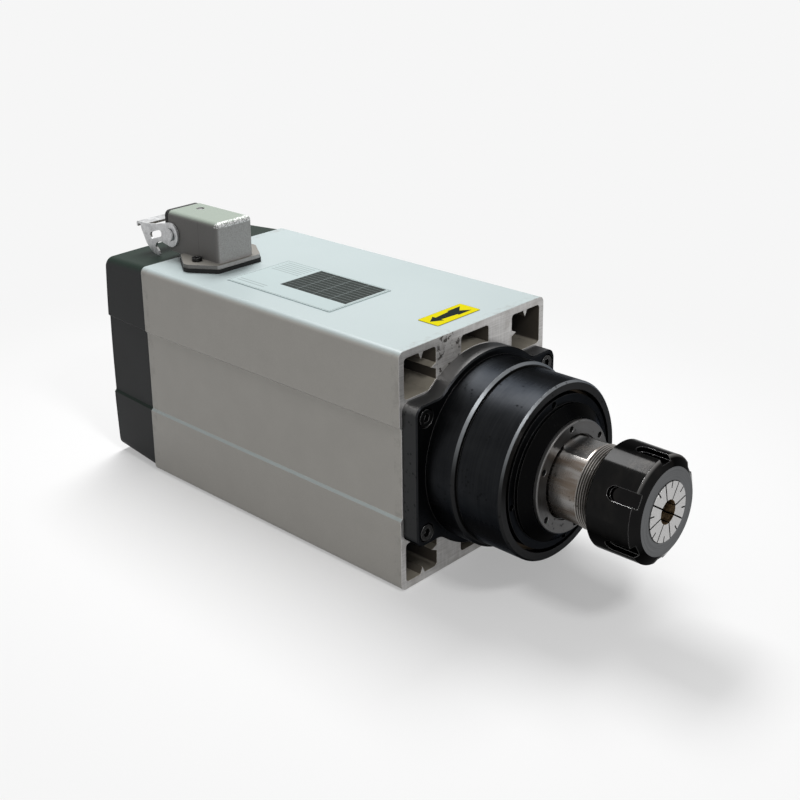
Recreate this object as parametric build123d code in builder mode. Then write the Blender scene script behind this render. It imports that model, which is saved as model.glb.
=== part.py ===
from build123d import *
import os
from math import radians, sqrt, tan

os.makedirs("parts", exist_ok=True)

# Square air-cooled motor spindle with a collet nose.
# The origin is the middle of the four mounting holes on the underside. +X runs along the
# spindle axis to the tool, +Z is up, and every length is in millimetres.

# Clearances that all the fits use
FIT_GAP = 0.03
RUNNING_GAP = 0.05
THREAD_GAP = 0.1
SEAL_GAP = 0.3
OPEN_GAP = 1.0

# Motor housing, an extrusion
HOUSING_LENGTH = 238.0
HOUSING_WIDTH = 131.0
HOUSING_HEIGHT = 150.0
HOUSING_CORNER_R = 4.0
BORE_SIDE_WALL = 10.5
BORE_WALL = 6.0
SIDE_WALL = 4.1
TOP_WALL = 4.6
CORNER_DUCT_WIDTH = 27.0
CORNER_DUCT_HEIGHT = 25.1
MIDDLE_DUCT_WIDTH = 25.0
DUCT_CORNER_R = 2.4
RIB_WIDTH = 3.8
RIB_HEIGHT = 4.2
TOP_RIB_OFFSET = 14.2
SIDE_RIB_OFFSET = 11.9
BAND_HEIGHT = 56.0
BAND_DEPTH = 1.5

# Tapped mounting holes in the underside, M8
MOUNT_SPACING_X = 160.0
MOUNT_SPACING_Y = 48.0
MOUNT_HOLE_R = 3.4
MOUNT_HOLE_DEPTH = 16.0

# Lug outline of the front flange, which the rear end shield repeats
LUG_INSET = 2.2
LUG_HEIGHT = 88.0
LUG_LEDGE = 4.2
LUG_CORNER_R = 6.0
LUG_WAIST_R = 10.0
LUG_SCREW_INSET = 8.0

# Flange and shield screws, M6 socket head
SCREW_R = 3.0
SCREW_HEAD_R = 5.0
SCREW_HEAD_HEIGHT = 6.0
SCREW_SOCKET_R = 2.9
SCREW_SOCKET_DEPTH = 3.0
SCREW_REACH = 14.0

# Front bearing housing: flange, rear barrel, groove and front barrel
FLANGE_THICKNESS = 11.0
FLANGE_EDGE = 0.8
REAR_BARREL_R = 56.3
REAR_BARREL_LENGTH = 20.3
REAR_BARREL_CHAMFER = 1.5
GROOVE_WIDTH = 1.3
GROOVE_DEPTH = 0.9
FRONT_BARREL_R = 53.7
FRONT_BARREL_LENGTH = 30.1
RIM_CHAMFER = 1.2
RIM_BORE_R = 48.3
RIM_BORE_DEPTH = 5.7
SPIGOT_LENGTH = 14.0
SPIGOT_WALL = 7.0
SHOULDER_OFFSET = 10.0
SHOULDER_LIP = 4.5
SHOULDER_THICKNESS = 8.0

# Front bearings, an angular-contact pair of 50 x 80 x 16
FRONT_BEARING_BORE_R = 25.0
FRONT_BEARING_OUTER_R = 40.0
FRONT_BEARING_WIDTH = 16.0
FRONT_BALL_R = 4.4
FRONT_BALL_COUNT = 16
FRONT_SPACER_LENGTH = 8.0
SPACER_INNER_WALL = 4.0
SPACER_OUTER_WALL = 4.0

# Rear bearing, 30 x 72 x 19
REAR_BEARING_BORE_R = 15.0
REAR_BEARING_OUTER_R = 36.0
REAR_BEARING_WIDTH = 19.0
REAR_BALL_R = 6.0
REAR_BALL_COUNT = 8

# Cages of all the bearings
RACE_DEPTH_SHARE = 0.5
CAGE_WALL = 2.0
CAGE_MARGIN = 1.6
POCKET_GAP = 0.2

# Front cover, a threaded ring with a cone in its middle
COVER_R = 46.0
COVER_THREAD_R = 45.0
COVER_LIP_LENGTH = 2.0
COVER_LIP_WALL = 4.0
CONE_BASE_R = 41.0
CONE_TOP_R = 34.4
CONE_STEP = 2.1
CONE_LENGTH = 5.2
COVER_CAVITY_WALL = 3.0
SPANNER_HOLE_R = 2.0
SPANNER_CIRCLE_R = 43.5
SPANNER_HOLE_DEPTH = 4.0
SPANNER_HOLE_COUNT = 4
SPANNER_ANGLE = 8.5

# Bearing lock nut and balance ring on the shaft
LOCK_NUT_R = 31.0
LOCK_NUT_LENGTH = 8.0
LOCK_NUT_SLOTS = 4
LOCK_NUT_SLOT_WIDTH = 5.0
LOCK_NUT_SLOT_DEPTH = 2.0
BALANCE_RING_R = 33.6
BALANCE_RING_PROUD = 2.6
BALANCE_RING_EDGE = 0.5
BALANCE_RECESS_R = 25.5
BALANCE_RECESS_DEPTH = 2.0
BALANCE_HOLE_R = 2.0
BALANCE_HOLE_DEPTH = 6.0
BALANCE_HOLE_COUNT = 6
BALANCE_CIRCLE_R = 30.2
BALANCE_ANGLE = 35.7

# Shaft
NECK_R = 24.2
NECK_LENGTH = 18.7
THREAD_CREST_R = 24.9
THREAD_ROOT_R = 24.1
THREAD_PITCH = 1.5
THREAD_LENGTH = 33.0
NOSE_R = 23.4
NOSE_LENGTH = 2.1
FLAT_ACROSS = 43.8
FLAT_START = 4.5
FLAT_END = 1.5
CUTTER_R = 10.0
FLAT_ANGLE = 5.7
TAPER_HALF_ANGLE = 8.0
TAPER_DEPTH = 40.5
DRAWBAR_BORE_R = 11.0
DRAWBAR_BORE_DEPTH = 30.0
SHAFT_SHOULDER_R = 29.0
SHAFT_SHOULDER_LENGTH = 12.0
MOTOR_SHAFT_R = 20.0
FAN_SEAT_R = 12.0
SHAFT_TAIL = 3.0
SHAFT_EDGE = 0.8

# Collet, a 14 mm one of the 41 mm size
COLLET_BORE_R = 7.0
COLLET_RELIEF_R = 8.5
COLLET_RELIEF_LENGTH = 20.0
COLLET_FACE_R = 17.2
COLLET_FRONT_HALF_ANGLE = 30.0
COLLET_CONE_LENGTH = 4.2
COLLET_GROOVE_DEPTH = 2.1
COLLET_GROOVE_WIDTH = 3.0
COLLET_BODY_R = 20.3
COLLET_LENGTH = 46.0
COLLET_SLIT = 0.9
COLLET_SLIT_COUNT = 8
COLLET_SLIT_ANGLE = 12.0
COLLET_WEB = 6.0
COLLET_NOTCH_R = 13.6
COLLET_NOTCH_DEPTH = 9.0
COLLET_PROUD = 0.5

# Collet nut, 63 mm across, on the shaft's thread
NUT_R = 31.4
NUT_LENGTH = 31.5
NUT_PROUD = 7.3
NUT_FACE_R = 25.1
NUT_BEVEL_LENGTH = 3.8
NUT_BEVEL_DEPTH = 0.3
NUT_REAR_EDGE = 1.2
NUT_SLOT_WIDTH = 8.2
NUT_SLOT_DEPTH = 3.5
NUT_SLOT_COUNT = 6
NUT_SLOT_LENGTH = 20.2
NUT_SLOT_ANGLE = 30.0
NUT_RIB_WIDTH = 1.8
NUT_RIB_GAP = 0.4

# Motor: stator stack, end windings and rotor
STATOR_FRONT_SETBACK = 69.0
STATOR_REAR_SETBACK = 49.0
STATOR_WALL = 23.0
STATOR_SLOTS = 24
STATOR_SLOT_WIDTH = 4.0
STATOR_SLOT_DEPTH = 11.0
WINDING_LIFT = 4.0
WINDING_GAP = 4.0
WINDING_LENGTH = 22.0
WINDING_ROUND_R = 5.0
AIR_GAP = 0.4
END_RING_LENGTH = 9.0
END_RING_LIFT = 2.6

# Rear end shield, preload spring and fan
SHIELD_THICKNESS = 8.0
SHIELD_INSET = 6.0
SHIELD_HUB_WALL = 6.0
SHIELD_SPIGOT_LENGTH = 10.0
SHIELD_SPIGOT_WALL = 5.0
SHIELD_WEB = 5.0
SPRING_HEIGHT = 2.0
SPRING_THICKNESS = 1.0
SPRING_WALL = 8.0
FAN_CLEARANCE = 6.0
FAN_HUB_R = 21.0
FAN_HUB_LENGTH = 20.0
FAN_DISC = 2.5
FAN_GAP = 3.0
FAN_BLADE_COUNT = 9
FAN_BLADE_THICKNESS = 2.2
FAN_BLADE_HEIGHT = 13.0
FAN_BLADE_ANGLE = 20.0
CIRCLIP_THICKNESS = 1.2
CIRCLIP_GROOVE_R = 11.3
CIRCLIP_OUTER_R = 15.5
CIRCLIP_MOUTH = 8.0

# Rear cover, a moulded cowl with an air grille
COWL_LENGTH = 45.5
COWL_INSET = 0.6
COWL_TAPER = 3.2
COWL_WALL = 2.8
COWL_CORNER_R = 6.0
COWL_CROWN = 5.0
GRILLE_R = 43.0
GRILLE_HUB_R = 9.0
GRILLE_SLOT = 5.0
GRILLE_BAR = 3.0
GRILLE_SPOKES = 6
GRILLE_SPOKE_WIDTH = 5.0
COWL_POST_R = 5.0
COWL_POST_INSET = 10.2
COWL_POST_Z = 18.0
COWL_SCREW_R = 2.0
COWL_SCREW_HEAD_R = 3.5
COWL_SCREW_HEAD_HEIGHT = 4.0
COWL_SCREW_SOCKET_R = 1.7
COWL_SCREW_SOCKET_DEPTH = 2.0
COWL_SCREW_SINK = 6.0
COWL_SCREW_REACH = 6.0

# Connector housing on the top, set back from the front face and off to one side
CONNECTOR_SETBACK = 207.5
CONNECTOR_Y = -20.9
FLANGE_PLATE_LENGTH = 41.6
FLANGE_PLATE_SIDE = 37.0
FLANGE_PLATE_SPAN = 61.0
FLANGE_PLATE_TIP = 4.0
FLANGE_PLATE_HEIGHT = 2.6
FLANGE_PLATE_CORNER_R = 2.5
GASKET_HEIGHT = 2.8
GASKET_MARGIN = 0.4
HOOD_WIDTH = 30.4
HOOD_TOP = 32.7
HOOD_FRONT = 17.5
HOOD_REAR = 35.5
HOOD_WALL = 2.6
HOOD_EDGE_R = 3.6
HOOD_TOP_EDGE_R = 2.4
HOOD_FLOOR = 1.2
HOOD_MOUTH_DROP = 5.0
HOOD_SLOPE_LENGTH = 12.0
HOOD_SCREW_Y = 20.0
HOOD_SCREW_R = 2.0
HOOD_SCREW_HEAD_R = 3.5
HOOD_SCREW_HEAD_HEIGHT = 2.4
HOOD_SCREW_SOCKET_R = 1.7
HOOD_SCREW_SOCKET_DEPTH = 1.4
HOOD_SCREW_REACH = 7.0
LEAD_HOLE_R = 6.5
INSERT_SCREW_R = 1.5
INSERT_SCREW_HEAD_R = 2.8
INSERT_SCREW_HEAD_HEIGHT = 1.6
INSERT_SCREW_SETBACK = 23.5
INSERT_SCREW_Y = 3.6
INSERT_SCREW_REACH = 4.0
SEAL_THICKNESS = 4.0
SEAL_WALL = 2.3
INSERT_DEPTH = 9.0
INSERT_LENGTH = 20.0
INSERT_WALL = 1.0
INSERT_PROUD = 1.0
PIN_R = 1.3
PIN_PITCH = 5.0
PIN_LENGTH = 7.0
PIN_TAIL = 4.0

# Locking lever, a bent sheet-metal bail on two studs
LEVER_SHEET = 1.6
LEVER_SIDE_GAP = 0.5
STUD_SETBACK = 32.4
STUD_HEIGHT = 16.7
STUD_R = 3.0
STUD_HEAD_R = 4.4
STUD_HEAD = 1.2
LEVER_ROUND_R = 8.6
LEVER_BAR_REACH = 31.8
LEVER_BAR_WIDTH = 11.6
LEVER_BAR_RISE = 3.4
LEVER_BAR_LIP = 3.6
LEVER_BAR_ROUND_R = 1.4
LEVER_WINDOW_LENGTH = 13.4
LEVER_WINDOW_HEIGHT = 4.8
LEVER_WINDOW_REACH = 15.9
LEVER_WINDOW_DROP = 2.6
LEVER_WINDOW_TILT = 19.0
LEVER_CORNER_R = 1.5
LEVER_TIP_R = 0.6
LEVER_CLAW_HEIGHT = -17.0
LEVER_WINDOW_R = 2.2

# The side plate's outline from the eye's top round to its underside: back from the stud and up
LEVER_OUTLINE = (
    (0, 7.6), (8.6, 6.6), (15.2, 4.9), (26.2, 3.2), (33.6, 3.2), (32.4, -1.6), (27.2, -11.0),
    (20.6, -16.6), (14.2, -17.4), (12.6, -17.2), (14.2, -14.4), (17.2, -11.4), (16.2, -8.9),
    (12.8, -7.2), (9.2, -6.7), (5.8, -7.5), (3.6, -7.8),
)

# Plates on the top face
PLATE_LENGTH = 96.0
PLATE_WIDTH = 54.5
PLATE_THICKNESS = 0.5
PLATE_CORNER_R = 1.0
PLATE_SETBACK = 125.2
PLATE_Y = -16.7
ARROW_LENGTH = 16.2
ARROW_WIDTH = 38.6
ARROW_THICKNESS = 0.3
ARROW_SETBACK = 20.2
ARROW_Y = 0.3

# Main stations along the axis
AXIS_Z = HOUSING_HEIGHT / 2
FRONT = HOUSING_LENGTH / 2
REAR = -HOUSING_LENGTH / 2
SPIN = Axis((0, 0, AXIS_Z), (1, 0, 0))
PROFILE = Plane(origin=(0, 0, AXIS_Z), x_dir=(1, 0, 0), z_dir=(0, -1, 0))

bore_r = HOUSING_WIDTH / 2 - BORE_SIDE_WALL
lug_width = HOUSING_WIDTH - 2 * LUG_INSET
lug_round_r = REAR_BARREL_R + LUG_LEDGE
lug_screw_y = lug_width / 2 - LUG_SCREW_INSET
lug_screw_z = LUG_HEIGHT / 2 - LUG_SCREW_INSET
lug_screws = [(y * lug_screw_y, z * lug_screw_z) for y in (-1, 1) for z in (-1, 1)]
post_y = HOUSING_WIDTH / 2 - COWL_POST_INSET
post_places = [(y * post_y, z * COWL_POST_Z) for y in (-1, 1) for z in (-1, 1)]

flange_front = FRONT + FLANGE_THICKNESS
groove_start = flange_front + REAR_BARREL_LENGTH
barrel_start = groove_start + GROOVE_WIDTH
rim_front = barrel_start + FRONT_BARREL_LENGTH
cover_seat = rim_front - RIM_BORE_DEPTH
inner_shoulder = FRONT + SHOULDER_OFFSET
inboard_front = inner_shoulder + FRONT_BEARING_WIDTH
outboard_rear = inboard_front + FRONT_SPACER_LENGTH
outboard_front = outboard_rear + FRONT_BEARING_WIDTH
cone_start = rim_front + CONE_STEP
cone_front = cone_start + CONE_LENGTH
ring_front = cone_front + BALANCE_RING_PROUD
neck_front = ring_front + NECK_LENGTH
thread_front = neck_front + THREAD_LENGTH
nose_front = thread_front + NOSE_LENGTH


def across(station):
    """The plane across the spindle axis at a station, with its x along Y and its y along Z."""
    return Plane(origin=(station, 0, AXIS_Z), x_dir=(0, 1, 0), z_dir=(1, 0, 0))


def turned(*points):
    """The closed outline through (station, radius) points, ready to revolve about the axis."""
    with BuildSketch(PROFILE) as outline:
        with BuildLine():
            Polyline(*points, close=True)
        make_face()
    return outline.sketch


def ring(start, end, inner_r, outer_r):
    """The rectangular outline of a plain ring."""
    return turned((start, inner_r), (end, inner_r), (end, outer_r), (start, outer_r))


def body_outline(plane, inset, corner):
    """The section that housing and cowl share: a rounded rectangle with a band down each side."""
    half_width = HOUSING_WIDTH / 2 - inset
    with BuildSketch(plane) as outline:
        Rectangle(2 * half_width, HOUSING_HEIGHT - 2 * inset)
        fillet(outline.vertices(), corner)
        for side in (-1, 1):
            with BuildLine():
                Polyline(
                    (side * (half_width - BAND_DEPTH), -BAND_HEIGHT / 2),
                    (side * (half_width + BAND_DEPTH), -BAND_HEIGHT / 2 - 2 * BAND_DEPTH),
                    (side * (half_width + BAND_DEPTH), BAND_HEIGHT / 2 + 2 * BAND_DEPTH),
                    (side * (half_width - BAND_DEPTH), BAND_HEIGHT / 2),
                    close=True,
                )
            make_face(mode=Mode.SUBTRACT)
    return outline.sketch


def lug_outline(plane, width, round_r):
    """A disc with four flat-sided corner lugs, blended in by hollow fillets."""
    with BuildSketch(plane) as outline:
        Rectangle(width, LUG_HEIGHT)
        fillet(outline.vertices(), LUG_CORNER_R)
        Circle(round_r)
        crossing = sqrt(round_r ** 2 - (LUG_HEIGHT / 2) ** 2)
        hollows = outline.vertices().filter_by(lambda v: abs(abs(v.X) - crossing) < FIT_GAP)
        fillet(hollows, LUG_WAIST_R)
    return outline.sketch


def duct_outline(plane):
    """The air ducts: four corner ones with small ribs and two middle ones, kept off the bore."""
    duct_out = HOUSING_WIDTH / 2 - SIDE_WALL
    duct_top = HOUSING_HEIGHT / 2 - TOP_WALL
    duct_in = duct_out - CORNER_DUCT_WIDTH
    duct_low = duct_top - CORNER_DUCT_HEIGHT
    with BuildSketch(plane) as outline:
        for z in (-1, 1):
            for y in (-1, 1):
                middle = (y * (duct_in + duct_out) / 2, z * (duct_low + duct_top) / 2)
                with Locations(middle):
                    RectangleRounded(CORNER_DUCT_WIDTH, CORNER_DUCT_HEIGHT, DUCT_CORNER_R)
            with Locations((0, z * (duct_top + bore_r) / 2)):
                RectangleRounded(MIDDLE_DUCT_WIDTH, duct_top - bore_r, DUCT_CORNER_R)
        Circle(bore_r + BORE_WALL, mode=Mode.SUBTRACT)
        for z in (-1, 1):
            for y in (-1, 1):
                rib_y = duct_out - TOP_RIB_OFFSET
                rib_z = duct_top - SIDE_RIB_OFFSET
                with BuildLine():
                    Polyline(
                        (y * (rib_y - RIB_WIDTH / 2), z * duct_top),
                        (y * (rib_y + RIB_WIDTH / 2), z * duct_top),
                        (y * rib_y, z * (duct_top - RIB_HEIGHT)),
                        close=True,
                    )
                make_face(mode=Mode.SUBTRACT)
                with BuildLine():
                    Polyline(
                        (y * duct_in, z * (rib_z - RIB_WIDTH / 2)),
                        (y * duct_in, z * (rib_z + RIB_WIDTH / 2)),
                        (y * (duct_in + RIB_HEIGHT), z * rib_z),
                        close=True,
                    )
                make_face(mode=Mode.SUBTRACT)
    return outline.sketch


def socket_screws(plane, places, shank_r, reach, head_r, head_height, socket_r, socket_depth):
    """Socket-head screws: the heads stand on the plane, and the shanks run back from it."""
    with BuildPart() as screws:
        with BuildSketch(plane):
            with Locations(*places):
                Circle(head_r)
        extrude(amount=head_height)
        with BuildSketch(plane):
            with Locations(*places):
                Circle(shank_r)
        extrude(amount=-reach)
        with BuildSketch(plane.offset(head_height)):
            with Locations(*places):
                RegularPolygon(socket_r, 6)
        extrude(amount=-socket_depth, mode=Mode.SUBTRACT)
    return screws


# Motor housing: bore, ducts, side bands, and the tapped holes for all that bolts to it
connector_x = FRONT - CONNECTOR_SETBACK
screw_hole_depth = SCREW_REACH + OPEN_GAP
with BuildPart() as motor_housing:
    extrude(body_outline(across(REAR), 0, HOUSING_CORNER_R), amount=HOUSING_LENGTH)
    with BuildSketch(across(REAR)):
        Circle(bore_r)
    extrude(amount=HOUSING_LENGTH, mode=Mode.SUBTRACT)
    extrude(duct_outline(across(REAR)), amount=HOUSING_LENGTH, mode=Mode.SUBTRACT)
    with BuildSketch(across(FRONT)):
        with Locations(*lug_screws):
            Circle(SCREW_R + FIT_GAP)
    extrude(amount=-screw_hole_depth, mode=Mode.SUBTRACT)
    with BuildSketch(across(REAR)):
        with Locations(*lug_screws):
            Circle(SCREW_R + FIT_GAP)
    extrude(amount=screw_hole_depth, mode=Mode.SUBTRACT)
    with BuildSketch(Plane.XY):
        with GridLocations(MOUNT_SPACING_X, MOUNT_SPACING_Y, 2, 2):
            Circle(MOUNT_HOLE_R)
    extrude(amount=MOUNT_HOLE_DEPTH, mode=Mode.SUBTRACT)
    with BuildSketch(Plane.XY.offset(HOUSING_HEIGHT)):
        with Locations((connector_x, CONNECTOR_Y)):
            Circle(LEAD_HOLE_R)
    extrude(amount=-(HOUSING_HEIGHT / 2), mode=Mode.SUBTRACT)
    with BuildSketch(Plane.XY.offset(HOUSING_HEIGHT)):
        with Locations(*[(connector_x, CONNECTOR_Y + side * HOOD_SCREW_Y) for side in (-1, 1)]):
            Circle(HOOD_SCREW_R + FIT_GAP)
    extrude(amount=-(HOOD_SCREW_REACH + OPEN_GAP), mode=Mode.SUBTRACT)
motor_housing.part.label = "motor_housing"
export_step(motor_housing.part, "parts/motor_housing.step")

# Stator stack: a slotted lamination ring that fits the bore
stator_front = FRONT - STATOR_FRONT_SETBACK
stator_rear = REAR + STATOR_REAR_SETBACK
stator_bore_r = bore_r - STATOR_WALL
winding_inner_r = stator_bore_r + WINDING_LIFT
winding_outer_r = bore_r - WINDING_GAP
with BuildPart() as stator_core:
    revolve(ring(stator_rear, stator_front, stator_bore_r, bore_r - FIT_GAP), axis=SPIN)
    with BuildSketch(across(stator_rear)):
        with PolarLocations(stator_bore_r, STATOR_SLOTS):
            Rectangle(2 * STATOR_SLOT_DEPTH, STATOR_SLOT_WIDTH)
    extrude(amount=stator_front - stator_rear, mode=Mode.SUBTRACT)
stator_core.part.label = "stator_core"
export_step(stator_core.part, "parts/stator_core.step")

# End windings: one rounded coil ring at each end of the stack
with BuildPart() as stator_winding_front:
    with BuildSketch(PROFILE):
        with Locations((stator_front + WINDING_LENGTH / 2, (winding_inner_r + winding_outer_r) / 2)):
            RectangleRounded(WINDING_LENGTH, winding_outer_r - winding_inner_r, WINDING_ROUND_R)
    revolve(axis=SPIN)
stator_winding_front.part.label = "stator_winding_front"
export_step(stator_winding_front.part, "parts/stator_winding_front.step")

with BuildPart() as stator_winding_rear:
    with BuildSketch(PROFILE):
        with Locations((stator_rear - WINDING_LENGTH / 2, (winding_inner_r + winding_outer_r) / 2)):
            RectangleRounded(WINDING_LENGTH, winding_outer_r - winding_inner_r, WINDING_ROUND_R)
    revolve(axis=SPIN)
stator_winding_rear.part.label = "stator_winding_rear"
export_step(stator_winding_rear.part, "parts/stator_winding_rear.step")

# Front bearing housing: spigot, lugged flange and stepped barrel around the bearing bore
with BuildPart() as front_bearing_housing:
    extrude(lug_outline(across(FRONT), lug_width, lug_round_r), amount=FLANGE_THICKNESS)
    chamfer(front_bearing_housing.faces().sort_by(Axis.X)[-1].edges(), FLANGE_EDGE)
    revolve(
        turned(
            (FRONT - SPIGOT_LENGTH, 0),
            (FRONT - SPIGOT_LENGTH, bore_r - FIT_GAP),
            (FRONT, bore_r - FIT_GAP),
            (FRONT, REAR_BARREL_R),
            (groove_start - REAR_BARREL_CHAMFER, REAR_BARREL_R),
            (groove_start, REAR_BARREL_R - REAR_BARREL_CHAMFER),
            (groove_start, FRONT_BARREL_R - GROOVE_DEPTH),
            (barrel_start, FRONT_BARREL_R - GROOVE_DEPTH),
            (barrel_start, FRONT_BARREL_R),
            (rim_front - RIM_CHAMFER, FRONT_BARREL_R),
            (rim_front, FRONT_BARREL_R - RIM_CHAMFER),
            (rim_front, 0),
        ),
        axis=SPIN,
    )
    hub_r = FRONT_BEARING_OUTER_R - SHOULDER_LIP
    revolve(
        turned(
            (FRONT - SPIGOT_LENGTH, 0),
            (FRONT - SPIGOT_LENGTH, bore_r - SPIGOT_WALL),
            (inner_shoulder - SHOULDER_THICKNESS, bore_r - SPIGOT_WALL),
            (inner_shoulder - SHOULDER_THICKNESS, hub_r),
            (inner_shoulder, hub_r),
            (inner_shoulder, FRONT_BEARING_OUTER_R + FIT_GAP),
            (outboard_front, FRONT_BEARING_OUTER_R + FIT_GAP),
            (outboard_front, COVER_THREAD_R + THREAD_GAP),
            (cover_seat, COVER_THREAD_R + THREAD_GAP),
            (cover_seat, RIM_BORE_R),
            (rim_front, RIM_BORE_R),
            (rim_front, 0),
        ),
        axis=SPIN,
        mode=Mode.SUBTRACT,
    )
    with Locations(across(flange_front)):
        with Locations(*lug_screws):
            CounterBoreHole(
                SCREW_R + SEAL_GAP, SCREW_HEAD_R + OPEN_GAP, SCREW_HEAD_HEIGHT, FLANGE_THICKNESS
            )
front_bearing_housing.part.label = "front_bearing_housing"
export_step(front_bearing_housing.part, "parts/front_bearing_housing.step")

flange_screws = socket_screws(
    across(flange_front - SCREW_HEAD_HEIGHT), lug_screws, SCREW_R,
    SCREW_REACH + FLANGE_THICKNESS - SCREW_HEAD_HEIGHT,
    SCREW_HEAD_R, SCREW_HEAD_HEIGHT, SCREW_SOCKET_R, SCREW_SOCKET_DEPTH,
)
flange_screws.part.label = "flange_screws"
export_step(flange_screws.part, "parts/flange_screws.step")


# Ball bearings: two rings with a round race each, a cage with ball pockets, and the balls
def bearing(start, width, bore_r, outer_r, ball_r, count):
    """The outer ring, inner ring, cage and balls of one bearing, as four builders."""
    middle = start + width / 2
    pitch_r = (bore_r + outer_r) / 2
    inner_land_r = pitch_r - ball_r * RACE_DEPTH_SHARE
    outer_land_r = pitch_r + ball_r * RACE_DEPTH_SHARE
    with BuildSketch(PROFILE) as race:
        with Locations((middle, pitch_r)):
            Circle(ball_r + RUNNING_GAP)
    with BuildSketch(Plane(origin=(middle, 0, AXIS_Z), x_dir=(1, 0, 0), z_dir=(0, 1, 0))) as hole:
        Circle(ball_r + POCKET_GAP)
    pocket = extrude(hole.sketch, amount=outer_r)
    with BuildPart() as outer_ring:
        revolve(ring(start, start + width, outer_land_r, outer_r), axis=SPIN)
        revolve(race.sketch, axis=SPIN, mode=Mode.SUBTRACT)
    with BuildPart() as inner_ring:
        revolve(ring(start, start + width, bore_r + FIT_GAP, inner_land_r), axis=SPIN)
        revolve(race.sketch, axis=SPIN, mode=Mode.SUBTRACT)
    with BuildPart() as cage:
        revolve(
            ring(
                middle - ball_r - CAGE_MARGIN, middle + ball_r + CAGE_MARGIN,
                pitch_r - CAGE_WALL / 2, pitch_r + CAGE_WALL / 2,
            ),
            axis=SPIN,
        )
        for step in range(count):
            add(pocket.rotate(SPIN, step * 360 / count), mode=Mode.SUBTRACT)
    with BuildPart() as balls:
        with Locations(across(middle)):
            with PolarLocations(pitch_r, count):
                Sphere(ball_r)
    return outer_ring, inner_ring, cage, balls


rear_bearing_front = REAR + REAR_BEARING_WIDTH - SHIELD_THICKNESS + SHIELD_WEB + SPRING_HEIGHT
rear_bearing_start = rear_bearing_front - REAR_BEARING_WIDTH
front_sizes = (
    FRONT_BEARING_WIDTH, FRONT_BEARING_BORE_R, FRONT_BEARING_OUTER_R, FRONT_BALL_R, FRONT_BALL_COUNT,
)
rear_sizes = (
    REAR_BEARING_WIDTH, REAR_BEARING_BORE_R, REAR_BEARING_OUTER_R, REAR_BALL_R, REAR_BALL_COUNT,
)
bearings = {
    "inboard_bearing": bearing(inner_shoulder, *front_sizes),
    "outboard_bearing": bearing(outboard_rear, *front_sizes),
    "rear_bearing": bearing(rear_bearing_start, *rear_sizes),
}
for bearing_name, pieces in bearings.items():
    for piece, piece_name in zip(pieces, ("outer_ring", "inner_ring", "cage", "balls")):
        piece.part.label = f"{bearing_name}_{piece_name}"
        export_step(piece.part, f"parts/{bearing_name}_{piece_name}.step")

# Spacers between the two front bearings
with BuildPart() as outer_spacer:
    spacer_r = FRONT_BEARING_OUTER_R - SPACER_OUTER_WALL
    revolve(ring(inboard_front, outboard_rear, spacer_r, FRONT_BEARING_OUTER_R), axis=SPIN)
outer_spacer.part.label = "outer_spacer"
export_step(outer_spacer.part, "parts/outer_spacer.step")

with BuildPart() as inner_spacer:
    spacer_bore = FRONT_BEARING_BORE_R + FIT_GAP
    revolve(ring(inboard_front, outboard_rear, spacer_bore, spacer_bore + SPACER_INNER_WALL), axis=SPIN)
inner_spacer.part.label = "inner_spacer"
export_step(inner_spacer.part, "parts/inner_spacer.step")

# Front cover: screws into the barrel, clamps the outer rings, and ends in a cone with a seal gap
cover_bore_r = BALANCE_RING_R + SEAL_GAP
cavity_front = cone_start - COVER_CAVITY_WALL
with BuildPart() as front_cover:
    lip_r = FRONT_BEARING_OUTER_R - SEAL_GAP
    revolve(
        turned(
            (outboard_front, lip_r - COVER_LIP_WALL),
            (outboard_front, lip_r),
            (outboard_front + COVER_LIP_LENGTH, lip_r),
            (outboard_front + COVER_LIP_LENGTH, COVER_THREAD_R),
            (cover_seat, COVER_THREAD_R),
            (cover_seat, COVER_R),
            (rim_front, COVER_R),
            (rim_front, CONE_BASE_R),
            (cone_start, CONE_BASE_R),
            (cone_front, CONE_TOP_R),
            (cone_front, cover_bore_r),
            (cavity_front, cover_bore_r),
            (cavity_front, lip_r - COVER_LIP_WALL),
        ),
        axis=SPIN,
    )
    with BuildSketch(across(rim_front)):
        with PolarLocations(SPANNER_CIRCLE_R, SPANNER_HOLE_COUNT, SPANNER_ANGLE):
            Circle(SPANNER_HOLE_R)
    extrude(amount=-SPANNER_HOLE_DEPTH, mode=Mode.SUBTRACT)
front_cover.part.label = "front_cover"
export_step(front_cover.part, "parts/front_cover.step")

# Bearing lock nut: holds the inner rings on the shaft and has spanner slots round its edge
lock_nut_front = outboard_front + LOCK_NUT_LENGTH
with BuildPart() as bearing_lock_nut:
    revolve(
        ring(outboard_front, lock_nut_front, FRONT_BEARING_BORE_R + FIT_GAP, LOCK_NUT_R), axis=SPIN
    )
    with BuildSketch(across(outboard_front)):
        with PolarLocations(LOCK_NUT_R, LOCK_NUT_SLOTS):
            Rectangle(2 * LOCK_NUT_SLOT_DEPTH, LOCK_NUT_SLOT_WIDTH)
    extrude(amount=LOCK_NUT_LENGTH, mode=Mode.SUBTRACT)
bearing_lock_nut.part.label = "bearing_lock_nut"
export_step(bearing_lock_nut.part, "parts/bearing_lock_nut.step")

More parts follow.
